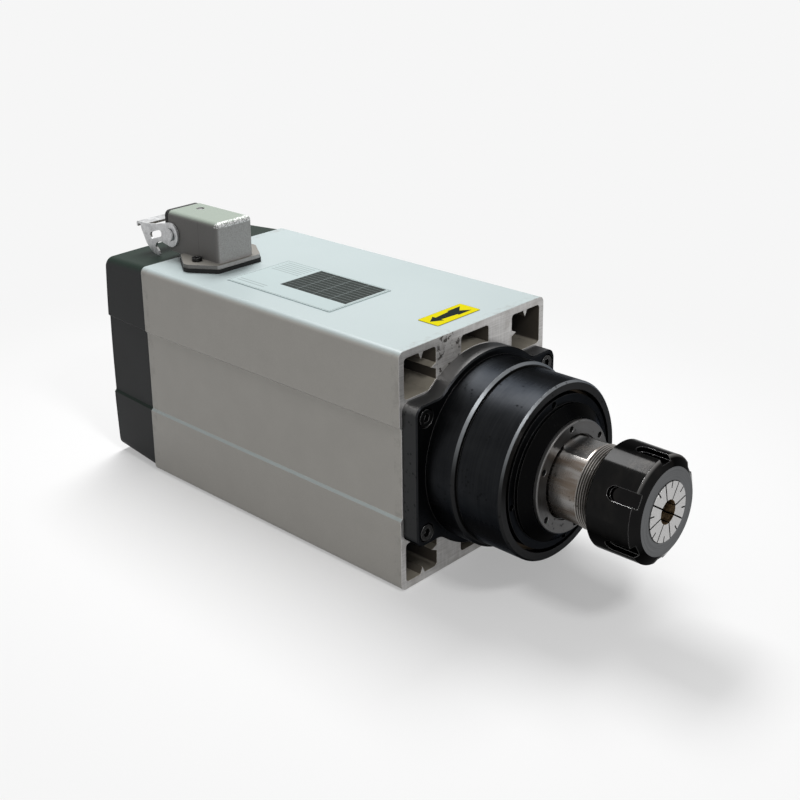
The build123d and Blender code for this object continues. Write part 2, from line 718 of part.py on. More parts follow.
# Balance ring: turns with the shaft inside the cover's cone, with tapped balancing holes
with BuildPart() as balance_ring:
    revolve(
        turned(
            (lock_nut_front, FRONT_BEARING_BORE_R + FIT_GAP),
            (lock_nut_front, BALANCE_RING_R - SEAL_GAP),
            (ring_front - BALANCE_RING_PROUD, BALANCE_RING_R - SEAL_GAP),
            (ring_front - BALANCE_RING_PROUD, BALANCE_RING_R),
            (ring_front - BALANCE_RING_EDGE, BALANCE_RING_R),
            (ring_front, BALANCE_RING_R - BALANCE_RING_EDGE),
            (ring_front, BALANCE_RECESS_R),
            (ring_front - BALANCE_RECESS_DEPTH, BALANCE_RECESS_R),
            (ring_front - BALANCE_RECESS_DEPTH, FRONT_BEARING_BORE_R + FIT_GAP),
        ),
        axis=SPIN,
    )
    with BuildSketch(across(ring_front)):
        with PolarLocations(BALANCE_CIRCLE_R, BALANCE_HOLE_COUNT, BALANCE_ANGLE):
            Circle(BALANCE_HOLE_R)
    extrude(amount=-BALANCE_HOLE_DEPTH, mode=Mode.SUBTRACT)
balance_ring.part.label = "balance_ring"
export_step(balance_ring.part, "parts/balance_ring.step")

# Shaft: one turned piece from the fan seat to the threaded nose
fan_rear = REAR - SHIELD_THICKNESS - FAN_GAP - FAN_HUB_LENGTH
shaft_rear = fan_rear - CIRCLIP_THICKNESS - SHAFT_TAIL
rotor_front = stator_front + END_RING_LENGTH
rotor_rear = stator_rear - END_RING_LENGTH
seat_end = ring_front - BALANCE_RECESS_DEPTH
taper_slope = tan(radians(TAPER_HALF_ANGLE))
nut_front = nose_front + NUT_PROUD
collet_front = nut_front + COLLET_PROUD
collet_body_front = collet_front - COLLET_CONE_LENGTH - COLLET_GROOVE_WIDTH
taper_mouth_r = COLLET_BODY_R + RUNNING_GAP - (collet_body_front - nose_front) * taper_slope
taper_end = nose_front - TAPER_DEPTH


def thread_outline(start, end):
    """The points of a saw-tooth row of thread crests and roots along the shaft."""
    points = []
    for turn in range(int((end - start) / THREAD_PITCH)):
        crest = start + turn * THREAD_PITCH
        points.append((crest, THREAD_CREST_R))
        points.append((crest + THREAD_PITCH / 2, THREAD_ROOT_R))
    return points


with BuildPart() as spindle_shaft:
    revolve(
        turned(
            (shaft_rear, 0),
            (shaft_rear, FAN_SEAT_R - SHAFT_EDGE),
            (shaft_rear + SHAFT_EDGE, FAN_SEAT_R),
            (fan_rear - CIRCLIP_THICKNESS, FAN_SEAT_R),
            (fan_rear - CIRCLIP_THICKNESS, CIRCLIP_GROOVE_R),
            (fan_rear, CIRCLIP_GROOVE_R),
            (fan_rear, FAN_SEAT_R),
            (REAR - SHIELD_THICKNESS - FAN_GAP, FAN_SEAT_R),
            (REAR - SHIELD_THICKNESS - FAN_GAP, REAR_BEARING_BORE_R),
            (rear_bearing_front, REAR_BEARING_BORE_R),
            (rear_bearing_front, MOTOR_SHAFT_R),
            (inner_shoulder - SHAFT_SHOULDER_LENGTH, MOTOR_SHAFT_R),
            (inner_shoulder - SHAFT_SHOULDER_LENGTH, SHAFT_SHOULDER_R),
            (inner_shoulder, SHAFT_SHOULDER_R),
            (inner_shoulder, FRONT_BEARING_BORE_R),
            (seat_end, FRONT_BEARING_BORE_R),
            (seat_end + SHAFT_EDGE, NECK_R),
            (neck_front, NECK_R),
            *thread_outline(neck_front, thread_front),
            (thread_front, NOSE_R),
            (nose_front, NOSE_R),
            (nose_front, taper_mouth_r),
            (taper_end, taper_mouth_r - TAPER_DEPTH * taper_slope),
            (taper_end, DRAWBAR_BORE_R),
            (taper_end - DRAWBAR_BORE_DEPTH, DRAWBAR_BORE_R),
            (taper_end - DRAWBAR_BORE_DEPTH, 0),
        ),
        axis=SPIN,
    )
    # The two wrench flats run out in a cutter's arc behind and stop short of the thread
    flat_floor = FLAT_ACROSS / 2
    flat_rear = ring_front + FLAT_START
    flat_front = neck_front - FLAT_END
    for turn in (FLAT_ANGLE, 180 + FLAT_ANGLE):
        with BuildSketch(PROFILE) as cutter:
            with BuildLine():
                Line((flat_rear, flat_floor), (flat_front, flat_floor))
                Line((flat_front, flat_floor), (flat_front, flat_floor + CUTTER_R))
                Line((flat_front, flat_floor + CUTTER_R), (flat_rear - CUTTER_R, flat_floor + CUTTER_R))
                CenterArc((flat_rear, flat_floor + CUTTER_R), CUTTER_R, 180, 90)
            make_face()
        cut = extrude(cutter.sketch, amount=NECK_R, both=True, mode=Mode.PRIVATE)
        add(cut.rotate(SPIN, turn), mode=Mode.SUBTRACT)
spindle_shaft.part.label = "spindle_shaft"
export_step(spindle_shaft.part, "parts/spindle_shaft.step")

# Rotor: lamination stack with a cast ring at each end, shrunk on the shaft
rotor_r = stator_bore_r - AIR_GAP
end_ring_bore_r = MOTOR_SHAFT_R + END_RING_LIFT
rotor_pieces = {
    "rotor_core": ring(stator_rear, stator_front, MOTOR_SHAFT_R + FIT_GAP, rotor_r),
    "rotor_end_ring_front": ring(stator_front, rotor_front, end_ring_bore_r, rotor_r),
    "rotor_end_ring_rear": ring(rotor_rear, stator_rear, end_ring_bore_r, rotor_r),
}
for rotor_name, outline in rotor_pieces.items():
    with BuildPart() as rotor_piece:
        revolve(outline, axis=SPIN)
    rotor_piece.part.label = rotor_name
    export_step(rotor_piece.part, f"parts/{rotor_name}.step")

# Rear end shield: lugged plate, spigot and bearing hub
shield_rear = REAR - SHIELD_THICKNESS
spring_rear = shield_rear + SHIELD_WEB
hub_front = rear_bearing_front
shield_width = HOUSING_WIDTH - 2 * SHIELD_INSET
shield_round_r = shield_width / 2 - SEAL_GAP
with BuildPart() as rear_end_shield:
    extrude(lug_outline(across(shield_rear), shield_width, shield_round_r), amount=SHIELD_THICKNESS)
    revolve(
        turned(
            (shield_rear, 0),
            (shield_rear, bore_r - FIT_GAP),
            (REAR + SHIELD_SPIGOT_LENGTH, bore_r - FIT_GAP),
            (REAR + SHIELD_SPIGOT_LENGTH, bore_r - SHIELD_SPIGOT_WALL),
            (REAR, bore_r - SHIELD_SPIGOT_WALL),
            (REAR, REAR_BEARING_OUTER_R + SHIELD_HUB_WALL),
            (hub_front, REAR_BEARING_OUTER_R + SHIELD_HUB_WALL),
            (hub_front, 0),
        ),
        axis=SPIN,
    )
    hub_bore_r = REAR_BEARING_OUTER_R + FIT_GAP
    revolve(ring(spring_rear, hub_front, 0, hub_bore_r), axis=SPIN, mode=Mode.SUBTRACT)
    revolve(
        ring(shield_rear, spring_rear, 0, REAR_BEARING_BORE_R + OPEN_GAP), axis=SPIN, mode=Mode.SUBTRACT
    )
    with BuildSketch(across(shield_rear)):
        with Locations(*lug_screws):
            Circle(SCREW_R + SEAL_GAP)
    extrude(amount=SHIELD_THICKNESS, mode=Mode.SUBTRACT)
    with BuildSketch(across(shield_rear)):
        with Locations(*post_places):
            Circle(COWL_SCREW_R + FIT_GAP)
    extrude(amount=SHIELD_THICKNESS, mode=Mode.SUBTRACT)
rear_end_shield.part.label = "rear_end_shield"
export_step(rear_end_shield.part, "parts/rear_end_shield.step")

shield_screws = socket_screws(
    Plane(origin=(shield_rear, 0, AXIS_Z), x_dir=(0, 1, 0), z_dir=(-1, 0, 0)), lug_screws, SCREW_R,
    SCREW_REACH + SHIELD_THICKNESS, SCREW_HEAD_R, SCREW_HEAD_HEIGHT, SCREW_SOCKET_R, SCREW_SOCKET_DEPTH,
)
shield_screws.part.label = "shield_screws"
export_step(shield_screws.part, "parts/shield_screws.step")

# Preload spring: a coned washer behind the rear bearing's outer ring
with BuildPart() as preload_spring:
    spring_r = REAR_BEARING_OUTER_R
    revolve(
        turned(
            (spring_rear, spring_r - SPRING_WALL),
            (spring_rear + SPRING_THICKNESS, spring_r - SPRING_WALL),
            (spring_rear + SPRING_HEIGHT, spring_r),
            (spring_rear + SPRING_HEIGHT - SPRING_THICKNESS, spring_r),
        ),
        axis=SPIN,
    )
preload_spring.part.label = "preload_spring"
export_step(preload_spring.part, "parts/preload_spring.step")

# Fan: hub, back disc and leaning blades, on the shaft behind the end shield
fan_front = fan_rear + FAN_HUB_LENGTH
fan_r = bore_r - FAN_CLEARANCE
with BuildPart() as fan:
    revolve(ring(fan_rear, fan_front, FAN_SEAT_R + FIT_GAP, FAN_HUB_R), axis=SPIN)
    revolve(ring(fan_front - FAN_DISC, fan_front, FAN_SEAT_R + FIT_GAP, fan_r), axis=SPIN)
    with BuildSketch(across(fan_front - FAN_DISC)):
        with PolarLocations((FAN_HUB_R + fan_r) / 2, FAN_BLADE_COUNT):
            Rectangle(fan_r - FAN_HUB_R - OPEN_GAP, FAN_BLADE_THICKNESS, rotation=FAN_BLADE_ANGLE)
    extrude(amount=-FAN_BLADE_HEIGHT)
fan.part.label = "fan"
export_step(fan.part, "parts/fan.step")

with BuildPart() as fan_circlip:
    revolve(
        ring(fan_rear - CIRCLIP_THICKNESS, fan_rear, CIRCLIP_GROOVE_R, CIRCLIP_OUTER_R), axis=SPIN
    )
    with BuildSketch(across(fan_rear)):
        with Locations((0, CIRCLIP_OUTER_R)):
            Rectangle(CIRCLIP_MOUTH, 2 * CIRCLIP_OUTER_R - CIRCLIP_GROOVE_R)
    extrude(amount=-CIRCLIP_THICKNESS, mode=Mode.SUBTRACT)
fan_circlip.part.label = "fan_circlip"
export_step(fan_circlip.part, "parts/fan_circlip.step")

# Rear cover: a moulded cowl with a crowned end, an air grille and four screw posts
cowl_rear = REAR - COWL_LENGTH
screw_seat = cowl_rear + COWL_SCREW_SINK


def cowl_body(inset):
    """The tapering cowl block, shrunk by an inset on its five outer sides."""
    front_face = body_outline(across(REAR), COWL_INSET + inset, COWL_CORNER_R)
    rear_face = body_outline(across(cowl_rear + inset), COWL_TAPER + inset, COWL_CORNER_R)
    return loft([front_face, rear_face])


def crowned_end(inset):
    """The bulge of the rear end: a shallow dome, cut to the section of the cowl's end."""
    half_diagonal = sqrt((HOUSING_WIDTH / 2) ** 2 + (HOUSING_HEIGHT / 2) ** 2)
    dome_r = (half_diagonal ** 2 + COWL_CROWN ** 2) / (2 * COWL_CROWN)
    with BuildSketch(PROFILE) as section:
        with BuildLine():
            base = cowl_rear + inset
            top = (base - COWL_CROWN, 0)
            Line((base, 0), top)
            RadiusArc(top, (base, half_diagonal), dome_r)
            Line((base, half_diagonal), (base, 0))
        make_face()
    dome = revolve(section.sketch, axis=SPIN)
    column = extrude(
        body_outline(across(cowl_rear + inset), COWL_TAPER + inset, COWL_CORNER_R), amount=-COWL_CROWN
    )
    return dome & column


outer_body = cowl_body(0)
inner_body = cowl_body(COWL_WALL)
outer_crown = crowned_end(0)
inner_crown = crowned_end(COWL_WALL)
with BuildPart() as rear_cover:
    add(outer_body)
    add(outer_crown)
    add(inner_body, mode=Mode.SUBTRACT)
    add(inner_crown, mode=Mode.SUBTRACT)
    with BuildSketch(across(cowl_rear - OPEN_GAP)):
        with Locations(*post_places):
            Circle(COWL_POST_R)
    extrude(amount=COWL_LENGTH + OPEN_GAP - SHIELD_THICKNESS)
    with BuildSketch(across(cowl_rear - COWL_CROWN)) as grille:
        Circle(GRILLE_R)
        Circle(GRILLE_HUB_R, mode=Mode.SUBTRACT)
        pitch = GRILLE_SLOT + GRILLE_BAR
        for step in range(int((GRILLE_R - GRILLE_HUB_R) / pitch) + 1):
            bar_r = GRILLE_HUB_R + GRILLE_SLOT + step * pitch
            with BuildSketch(across(cowl_rear - COWL_CROWN), mode=Mode.PRIVATE) as bar:
                Circle(bar_r + GRILLE_BAR)
                Circle(bar_r, mode=Mode.SUBTRACT)
            add(bar.sketch_local, mode=Mode.SUBTRACT)
        with PolarLocations(GRILLE_R / 2, GRILLE_SPOKES):
            Rectangle(GRILLE_R, GRILLE_SPOKE_WIDTH, mode=Mode.SUBTRACT)
    extrude(amount=COWL_CROWN + COWL_WALL, mode=Mode.SUBTRACT)
    with BuildSketch(across(cowl_rear - COWL_CROWN)):
        with Locations(*post_places):
            Circle(COWL_SCREW_HEAD_R + SEAL_GAP)
    extrude(amount=COWL_CROWN + COWL_SCREW_SINK, mode=Mode.SUBTRACT)
    with BuildSketch(across(screw_seat)):
        with Locations(*post_places):
            Circle(COWL_SCREW_R + SEAL_GAP)
    extrude(amount=COWL_LENGTH, mode=Mode.SUBTRACT)
rear_cover.part.label = "rear_cover"
export_step(rear_cover.part, "parts/rear_cover.step")

cover_screws = socket_screws(
    Plane(origin=(screw_seat, 0, AXIS_Z), x_dir=(0, 1, 0), z_dir=(-1, 0, 0)), post_places,
    COWL_SCREW_R, shield_rear - screw_seat + COWL_SCREW_REACH,
    COWL_SCREW_HEAD_R, COWL_SCREW_HEAD_HEIGHT, COWL_SCREW_SOCKET_R, COWL_SCREW_SOCKET_DEPTH,
)
cover_screws.part.label = "cover_screws"
export_step(cover_screws.part, "parts/cover_screws.step")

# Collet: a slotted steel sleeve with a long rear taper, a pull groove and a short front cone
collet_rear = collet_front - COLLET_LENGTH
front_slope = tan(radians(COLLET_FRONT_HALF_ANGLE))
cone_rear = collet_front - COLLET_CONE_LENGTH
collet_groove_r = COLLET_BODY_R - COLLET_GROOVE_DEPTH
notch_rear = collet_front - COLLET_NOTCH_DEPTH
with BuildPart() as collet:
    revolve(
        turned(
            (collet_rear, COLLET_RELIEF_R),
            (collet_rear, COLLET_BODY_R - (collet_body_front - collet_rear) * taper_slope),
            (collet_body_front, COLLET_BODY_R),
            (collet_body_front, collet_groove_r),
            (cone_rear, collet_groove_r),
            (cone_rear, COLLET_FACE_R + COLLET_CONE_LENGTH * front_slope),
            (collet_front, COLLET_FACE_R),
            (collet_front, COLLET_BORE_R),
            (collet_rear + COLLET_RELIEF_LENGTH, COLLET_BORE_R),
            (collet_rear + COLLET_RELIEF_LENGTH, COLLET_RELIEF_R),
        ),
        axis=SPIN,
    )
    half_step = 180 / COLLET_SLIT_COUNT
    slit_middle = (COLLET_BODY_R + COLLET_BORE_R) / 2
    slit_height = COLLET_BODY_R - COLLET_BORE_R + 2 * OPEN_GAP
    with BuildSketch(across(collet_front)):
        with PolarLocations(slit_middle, COLLET_SLIT_COUNT, COLLET_SLIT_ANGLE):
            Rectangle(slit_height, COLLET_SLIT)
    extrude(amount=COLLET_WEB - COLLET_LENGTH, mode=Mode.SUBTRACT)
    with BuildSketch(across(collet_rear)):
        with PolarLocations(slit_middle, COLLET_SLIT_COUNT, COLLET_SLIT_ANGLE + half_step):
            Rectangle(slit_height, COLLET_SLIT)
    extrude(amount=notch_rear - COLLET_WEB - collet_rear, mode=Mode.SUBTRACT)
    with BuildSketch(across(collet_front)):
        with PolarLocations(COLLET_BODY_R, COLLET_SLIT_COUNT, COLLET_SLIT_ANGLE + half_step):
            Rectangle(2 * (COLLET_BODY_R - COLLET_NOTCH_R), COLLET_SLIT)
    extrude(amount=-COLLET_NOTCH_DEPTH, mode=Mode.SUBTRACT)
collet.part.label = "collet"
export_step(collet.part, "parts/collet.step")

# Collet nut: screws on the shaft, pulls on the collet's groove and has six spanner slots
nut_rear = nut_front - NUT_LENGTH
rib_rear = (collet_body_front + cone_rear - NUT_RIB_WIDTH) / 2
rib_front = rib_rear + NUT_RIB_WIDTH
seat_face_r = COLLET_FACE_R + COLLET_PROUD * front_slope + RUNNING_GAP
seat_rear_r = seat_face_r + (nut_front - cone_rear) * front_slope
with BuildPart() as collet_nut:
    revolve(
        turned(
            (nut_rear, THREAD_CREST_R + THREAD_GAP),
            (nut_rear, NUT_R - NUT_REAR_EDGE),
            (nut_rear + NUT_REAR_EDGE, NUT_R),
            (nut_front - NUT_BEVEL_LENGTH, NUT_R - NUT_BEVEL_DEPTH),
            (nut_front, NUT_FACE_R),
            (nut_front, seat_face_r),
            (cone_rear, seat_rear_r),
            (rib_front, seat_rear_r),
            (rib_front, collet_groove_r + NUT_RIB_GAP),
            (rib_rear, collet_groove_r + NUT_RIB_GAP),
            (rib_rear, THREAD_CREST_R + THREAD_GAP),
        ),
        axis=SPIN,
    )
    slot_end = nut_front - NUT_SLOT_LENGTH + NUT_SLOT_WIDTH / 2
    slot_plane = Plane(
        origin=(0, 0, AXIS_Z + NUT_R - NUT_SLOT_DEPTH), x_dir=(1, 0, 0), z_dir=(0, 0, 1)
    )
    with BuildSketch(slot_plane) as slot:
        with Locations((slot_end, 0)):
            Circle(NUT_SLOT_WIDTH / 2)
            Rectangle(NUT_SLOT_LENGTH, NUT_SLOT_WIDTH, align=(Align.MIN, Align.CENTER))
    cutter = extrude(slot.sketch, amount=NUT_SLOT_DEPTH + OPEN_GAP, mode=Mode.PRIVATE)
    for step in range(NUT_SLOT_COUNT):
        turn = NUT_SLOT_ANGLE - 90 + step * 360 / NUT_SLOT_COUNT
        add(cutter.rotate(SPIN, turn), mode=Mode.SUBTRACT)
collet_nut.part.label = "collet_nut"
export_step(collet_nut.part, "parts/collet_nut.step")

# Connector base on the housing's top: gasket, hood with its six-sided foot, and foot screws
housing_top = HOUSING_HEIGHT
plate_seat = housing_top + GASKET_HEIGHT
foot_top = plate_seat + FLANGE_PLATE_HEIGHT
hood_screws_at = [(connector_x, CONNECTOR_Y + side * HOOD_SCREW_Y) for side in (-1, 1)]


def foot_outline(height, inset):
    """The six-sided foot with a cut-off point at each end, at a height above the underside."""
    half_length = FLANGE_PLATE_LENGTH / 2 - inset
    half_side = FLANGE_PLATE_SIDE / 2 - inset
    half_span = FLANGE_PLATE_SPAN / 2 - inset
    half_tip = FLANGE_PLATE_TIP / 2
    corners = [
        (half_length, half_side), (half_tip, half_span), (-half_tip, half_span), (-half_length, half_side),
        (-half_length, -half_side), (-half_tip, -half_span), (half_tip, -half_span),
        (half_length, -half_side),
    ]
    with BuildSketch(Plane.XY.offset(height)) as outline:
        with BuildLine():
            Polyline(*[(connector_x + x, CONNECTOR_Y + y) for x, y in corners], close=True)
        make_face()
        fillet(outline.vertices(), FLANGE_PLATE_CORNER_R)
        with Locations(*hood_screws_at):
            Circle(HOOD_SCREW_R + SEAL_GAP, mode=Mode.SUBTRACT)
        with Locations((connector_x, CONNECTOR_Y)):
            Circle(LEAD_HOLE_R, mode=Mode.SUBTRACT)
    return outline.sketch


with BuildPart() as connector_gasket:
    extrude(foot_outline(housing_top, 0), amount=GASKET_HEIGHT)
connector_gasket.part.label = "connector_gasket"
export_step(connector_gasket.part, "parts/connector_gasket.step")

hood_side = Plane(
    origin=(connector_x, CONNECTOR_Y - HOOD_WIDTH / 2, housing_top), x_dir=(1, 0, 0), z_dir=(0, -1, 0)
)
mouth_x = connector_x - HOOD_REAR
cavity_low = housing_top + HOOD_MOUTH_DROP + HOOD_WALL
cavity_high = housing_top + HOOD_TOP - HOOD_WALL
cavity_width = HOOD_WIDTH - 2 * HOOD_WALL
cavity_front_x = connector_x + HOOD_FRONT - HOOD_WALL
cavity_middle = (cavity_low + cavity_high) / 2
stud_x = connector_x - STUD_SETBACK
stud_z = housing_top + STUD_HEIGHT
with BuildPart() as connector_hood:
    with BuildSketch(hood_side):
        with BuildLine():
            Polyline(
                (HOOD_FRONT, GASKET_HEIGHT),
                (HOOD_FRONT, HOOD_TOP),
                (-HOOD_REAR, HOOD_TOP),
                (-HOOD_REAR, HOOD_MOUTH_DROP),
                (HOOD_SLOPE_LENGTH - HOOD_REAR, GASKET_HEIGHT + FLANGE_PLATE_HEIGHT / 2),
                (HOOD_SLOPE_LENGTH - HOOD_REAR + FLANGE_PLATE_HEIGHT, GASKET_HEIGHT),
                close=True,
            )
        make_face()
    extrude(amount=-HOOD_WIDTH)
    long_edges = connector_hood.edges().filter_by(Axis.X).sort_by(Axis.Z)[-2:]
    front_edges = connector_hood.edges().filter_by(Axis.Z).sort_by(Axis.X)[-2:]
    fillet(long_edges + front_edges, HOOD_EDGE_R)
    front_top = connector_hood.faces().sort_by(Axis.X)[-1].edges().sort_by(Axis.Z)[-1]
    fillet(front_top, HOOD_TOP_EDGE_R)
    extrude(foot_outline(plate_seat, GASKET_MARGIN), amount=FLANGE_PLATE_HEIGHT)
    with BuildSketch(across(mouth_x)):
        with Locations((CONNECTOR_Y, cavity_middle - AXIS_Z)):
            RectangleRounded(cavity_width, cavity_high - cavity_low, HOOD_FLOOR)
    extrude(amount=cavity_front_x - mouth_x, mode=Mode.SUBTRACT)
    with BuildSketch(Plane.XY.offset(plate_seat)):
        with Locations((connector_x, CONNECTOR_Y)):
            Circle(LEAD_HOLE_R)
    extrude(amount=cavity_middle - plate_seat, mode=Mode.SUBTRACT)
    with BuildSketch(Plane.XY.offset(housing_top + HOOD_TOP)):
        with Locations((connector_x - INSERT_SCREW_SETBACK, CONNECTOR_Y + INSERT_SCREW_Y)):
            Circle(INSERT_SCREW_HEAD_R + FIT_GAP)
    extrude(amount=-(INSERT_SCREW_HEAD_HEIGHT), mode=Mode.SUBTRACT)
    with BuildSketch(Plane.XY.offset(housing_top + HOOD_TOP)):
        with Locations((connector_x - INSERT_SCREW_SETBACK, CONNECTOR_Y + INSERT_SCREW_Y)):
            Circle(INSERT_SCREW_R + FIT_GAP)
    extrude(amount=-HOOD_WALL, mode=Mode.SUBTRACT)
connector_hood.part.label = "connector_hood"
export_step(connector_hood.part, "parts/connector_hood.step")

foot_screws = socket_screws(
    Plane.XY.offset(foot_top), hood_screws_at, HOOD_SCREW_R,
    FLANGE_PLATE_HEIGHT + GASKET_HEIGHT + HOOD_SCREW_REACH,
    HOOD_SCREW_HEAD_R, HOOD_SCREW_HEAD_HEIGHT, HOOD_SCREW_SOCKET_R, HOOD_SCREW_SOCKET_DEPTH,
)
foot_screws.part.label = "foot_screws"
export_step(foot_screws.part, "parts/foot_screws.step")

# Rubber seal round the mouth
with BuildPart() as mouth_seal:
    with BuildSketch(across(mouth_x)):
        with Locations((CONNECTOR_Y, cavity_middle - AXIS_Z)):
            RectangleRounded(
                cavity_width + 2 * SEAL_WALL, cavity_high - cavity_low + 2 * SEAL_WALL, HOOD_EDGE_R
            )
            RectangleRounded(cavity_width, cavity_high - cavity_low, HOOD_FLOOR, mode=Mode.SUBTRACT)
    extrude(amount=-SEAL_THICKNESS)
mouth_seal.part.label = "mouth_seal"
export_step(mouth_seal.part, "parts/mouth_seal.step")

# Contact insert: a moulded block in the hood with a thin wall out to the mouth, its pins and screw
insert_mouth = mouth_x - SEAL_THICKNESS - INSERT_PROUD
insert_face = mouth_x + INSERT_DEPTH
insert_width = cavity_width - 2 * FIT_GAP
insert_height = cavity_high - cavity_low - 2 * FIT_GAP
pin_places = [
    (CONNECTOR_Y + y * PIN_PITCH, cavity_middle - AXIS_Z + z * PIN_PITCH)
    for y in (-1, 0, 1) for z in (-1, 1)
]
with BuildPart() as contact_insert:
    with BuildSketch(across(insert_mouth)):
        with Locations((CONNECTOR_Y, cavity_middle - AXIS_Z)):
            RectangleRounded(insert_width, insert_height, HOOD_FLOOR)
    extrude(amount=insert_face + INSERT_LENGTH - insert_mouth)
    with BuildSketch(across(insert_mouth)):
        with Locations((CONNECTOR_Y, cavity_middle - AXIS_Z)):
            Rectangle(insert_width - 2 * INSERT_WALL, insert_height - 2 * INSERT_WALL)
    extrude(amount=insert_face - insert_mouth, mode=Mode.SUBTRACT)
    with BuildSketch(across(insert_face)):
        with Locations(*pin_places):
            Circle(PIN_R)
    extrude(amount=INSERT_LENGTH, mode=Mode.SUBTRACT)
    with BuildSketch(Plane.XY.offset(cavity_high)):
        with Locations((connector_x - INSERT_SCREW_SETBACK, CONNECTOR_Y + INSERT_SCREW_Y)):
            Circle(INSERT_SCREW_R + FIT_GAP)
    extrude(amount=-INSERT_SCREW_REACH, mode=Mode.SUBTRACT)
contact_insert.part.label = "contact_insert"
export_step(contact_insert.part, "parts/contact_insert.step")

with BuildPart() as contact_pins:
    with BuildSketch(across(insert_face - PIN_LENGTH)):
        with Locations(*pin_places):
            Circle(PIN_R)
    extrude(amount=PIN_LENGTH + INSERT_LENGTH + PIN_TAIL)
contact_pins.part.label = "contact_pins"
export_step(contact_pins.part, "parts/contact_pins.step")

with BuildPart() as insert_screw:
    with BuildSketch(Plane.XY.offset(housing_top + HOOD_TOP - INSERT_SCREW_HEAD_HEIGHT)):
        with Locations((connector_x - INSERT_SCREW_SETBACK, CONNECTOR_Y + INSERT_SCREW_Y)):
            Circle(INSERT_SCREW_HEAD_R)
    extrude(amount=INSERT_SCREW_HEAD_HEIGHT / 2)
    with BuildSketch(Plane.XY.offset(housing_top + HOOD_TOP - INSERT_SCREW_HEAD_HEIGHT)):
        with Locations((connector_x - INSERT_SCREW_SETBACK, CONNECTOR_Y + INSERT_SCREW_Y)):
            Circle(INSERT_SCREW_R)
    extrude(amount=INSERT_SCREW_HEAD_HEIGHT - HOOD_WALL - INSERT_SCREW_REACH)
insert_screw.part.label = "insert_screw"
export_step(insert_screw.part, "parts/insert_screw.step")

# Pivot studs: a pin with a flat head on each side of the hood
plate_inner = HOOD_WIDTH / 2 + LEVER_SIDE_GAP
plate_outer = plate_inner + LEVER_SHEET
with BuildPart() as pivot_studs:
    for side in (-1, 1):
        stud_plane = Plane(
            origin=(stud_x, CONNECTOR_Y + side * HOOD_WIDTH / 2, stud_z), x_dir=(1, 0, 0),
            z_dir=(0, side, 0),
        )
        with BuildSketch(stud_plane):
            Circle(STUD_R)
        extrude(amount=2 * LEVER_SIDE_GAP + LEVER_SHEET)
        with BuildSketch(stud_plane.offset(2 * LEVER_SIDE_GAP + LEVER_SHEET)):
            Circle(STUD_HEAD_R)
        extrude(amount=STUD_HEAD)
pivot_studs.part.label = "pivot_studs"
export_step(pivot_studs.part, "parts/pivot_studs.step")


def lever_plate(y):
    """The outline of one hooked side plate of the lever, in the upright plane at y."""
    plane = Plane(origin=(stud_x, y, stud_z), x_dir=(-1, 0, 0), z_dir=(0, 1, 0))
    with BuildSketch(plane) as outline:
        with BuildLine():
            Polyline(*LEVER_OUTLINE, close=True)
        make_face()
        back_corners = outline.vertices().filter_by(lambda v: v.X > LEVER_WINDOW_REACH)
        fillet(back_corners, LEVER_CORNER_R)
        fillet(outline.vertices().filter_by(lambda v: v.Y < LEVER_CLAW_HEIGHT), LEVER_TIP_R)
        Circle(LEVER_ROUND_R)
        Circle(STUD_R + RUNNING_GAP, mode=Mode.SUBTRACT)
        with Locations(Location((LEVER_WINDOW_REACH, -LEVER_WINDOW_DROP), -LEVER_WINDOW_TILT)):
            RectangleRounded(
                LEVER_WINDOW_LENGTH, LEVER_WINDOW_HEIGHT, LEVER_WINDOW_R, mode=Mode.SUBTRACT
            )
    return outline.sketch


# Locking lever: two hooked plates joined by a cross bar behind the mouth
with BuildPart() as locking_lever:
    extrude(lever_plate(CONNECTOR_Y - plate_outer), amount=LEVER_SHEET)
    extrude(lever_plate(CONNECTOR_Y + plate_inner), amount=LEVER_SHEET)
    bar_plane = Plane(
        origin=(stud_x - LEVER_BAR_REACH, CONNECTOR_Y - plate_outer, stud_z + LEVER_BAR_RISE),
        x_dir=(-1, 0, 0), z_dir=(0, 1, 0),
    )
    half_bar = LEVER_BAR_WIDTH / 2
    with BuildSketch(bar_plane) as bar_section:
        with BuildLine():
            Polyline(
                (-half_bar, 0),
                (half_bar, 0),
                (half_bar, -LEVER_BAR_LIP),
                (half_bar - LEVER_SHEET, -LEVER_BAR_LIP),
                (half_bar - LEVER_SHEET, -LEVER_SHEET),
                (-half_bar, -LEVER_SHEET),
                close=True,
            )
        make_face()
        top_corner = bar_section.vertices().filter_by(lambda v: v.X > FIT_GAP and v.Y > -FIT_GAP)
        fillet(top_corner, LEVER_BAR_ROUND_R)
    extrude(amount=2 * plate_outer)
locking_lever.part.label = "locking_lever"
export_step(locking_lever.part, "parts/locking_lever.step")

# Plates on the top face: the rating plate and the rotation arrow's label
top_plates = {
    "rating_plate": (PLATE_SETBACK, PLATE_Y, PLATE_LENGTH, PLATE_WIDTH, PLATE_THICKNESS),
    "arrow_label": (ARROW_SETBACK, ARROW_Y, ARROW_LENGTH, ARROW_WIDTH, ARROW_THICKNESS),
}
for plate_name, (setback, middle_y, length, width, thickness) in top_plates.items():
    with BuildPart() as top_plate:
        with BuildSketch(Plane.XY.offset(housing_top)):
            with Locations((FRONT - setback, middle_y)):
                RectangleRounded(length, width, PLATE_CORNER_R)
        extrude(amount=thickness)
    top_plate.part.label = plate_name
    export_step(top_plate.part, f"parts/{plate_name}.step")
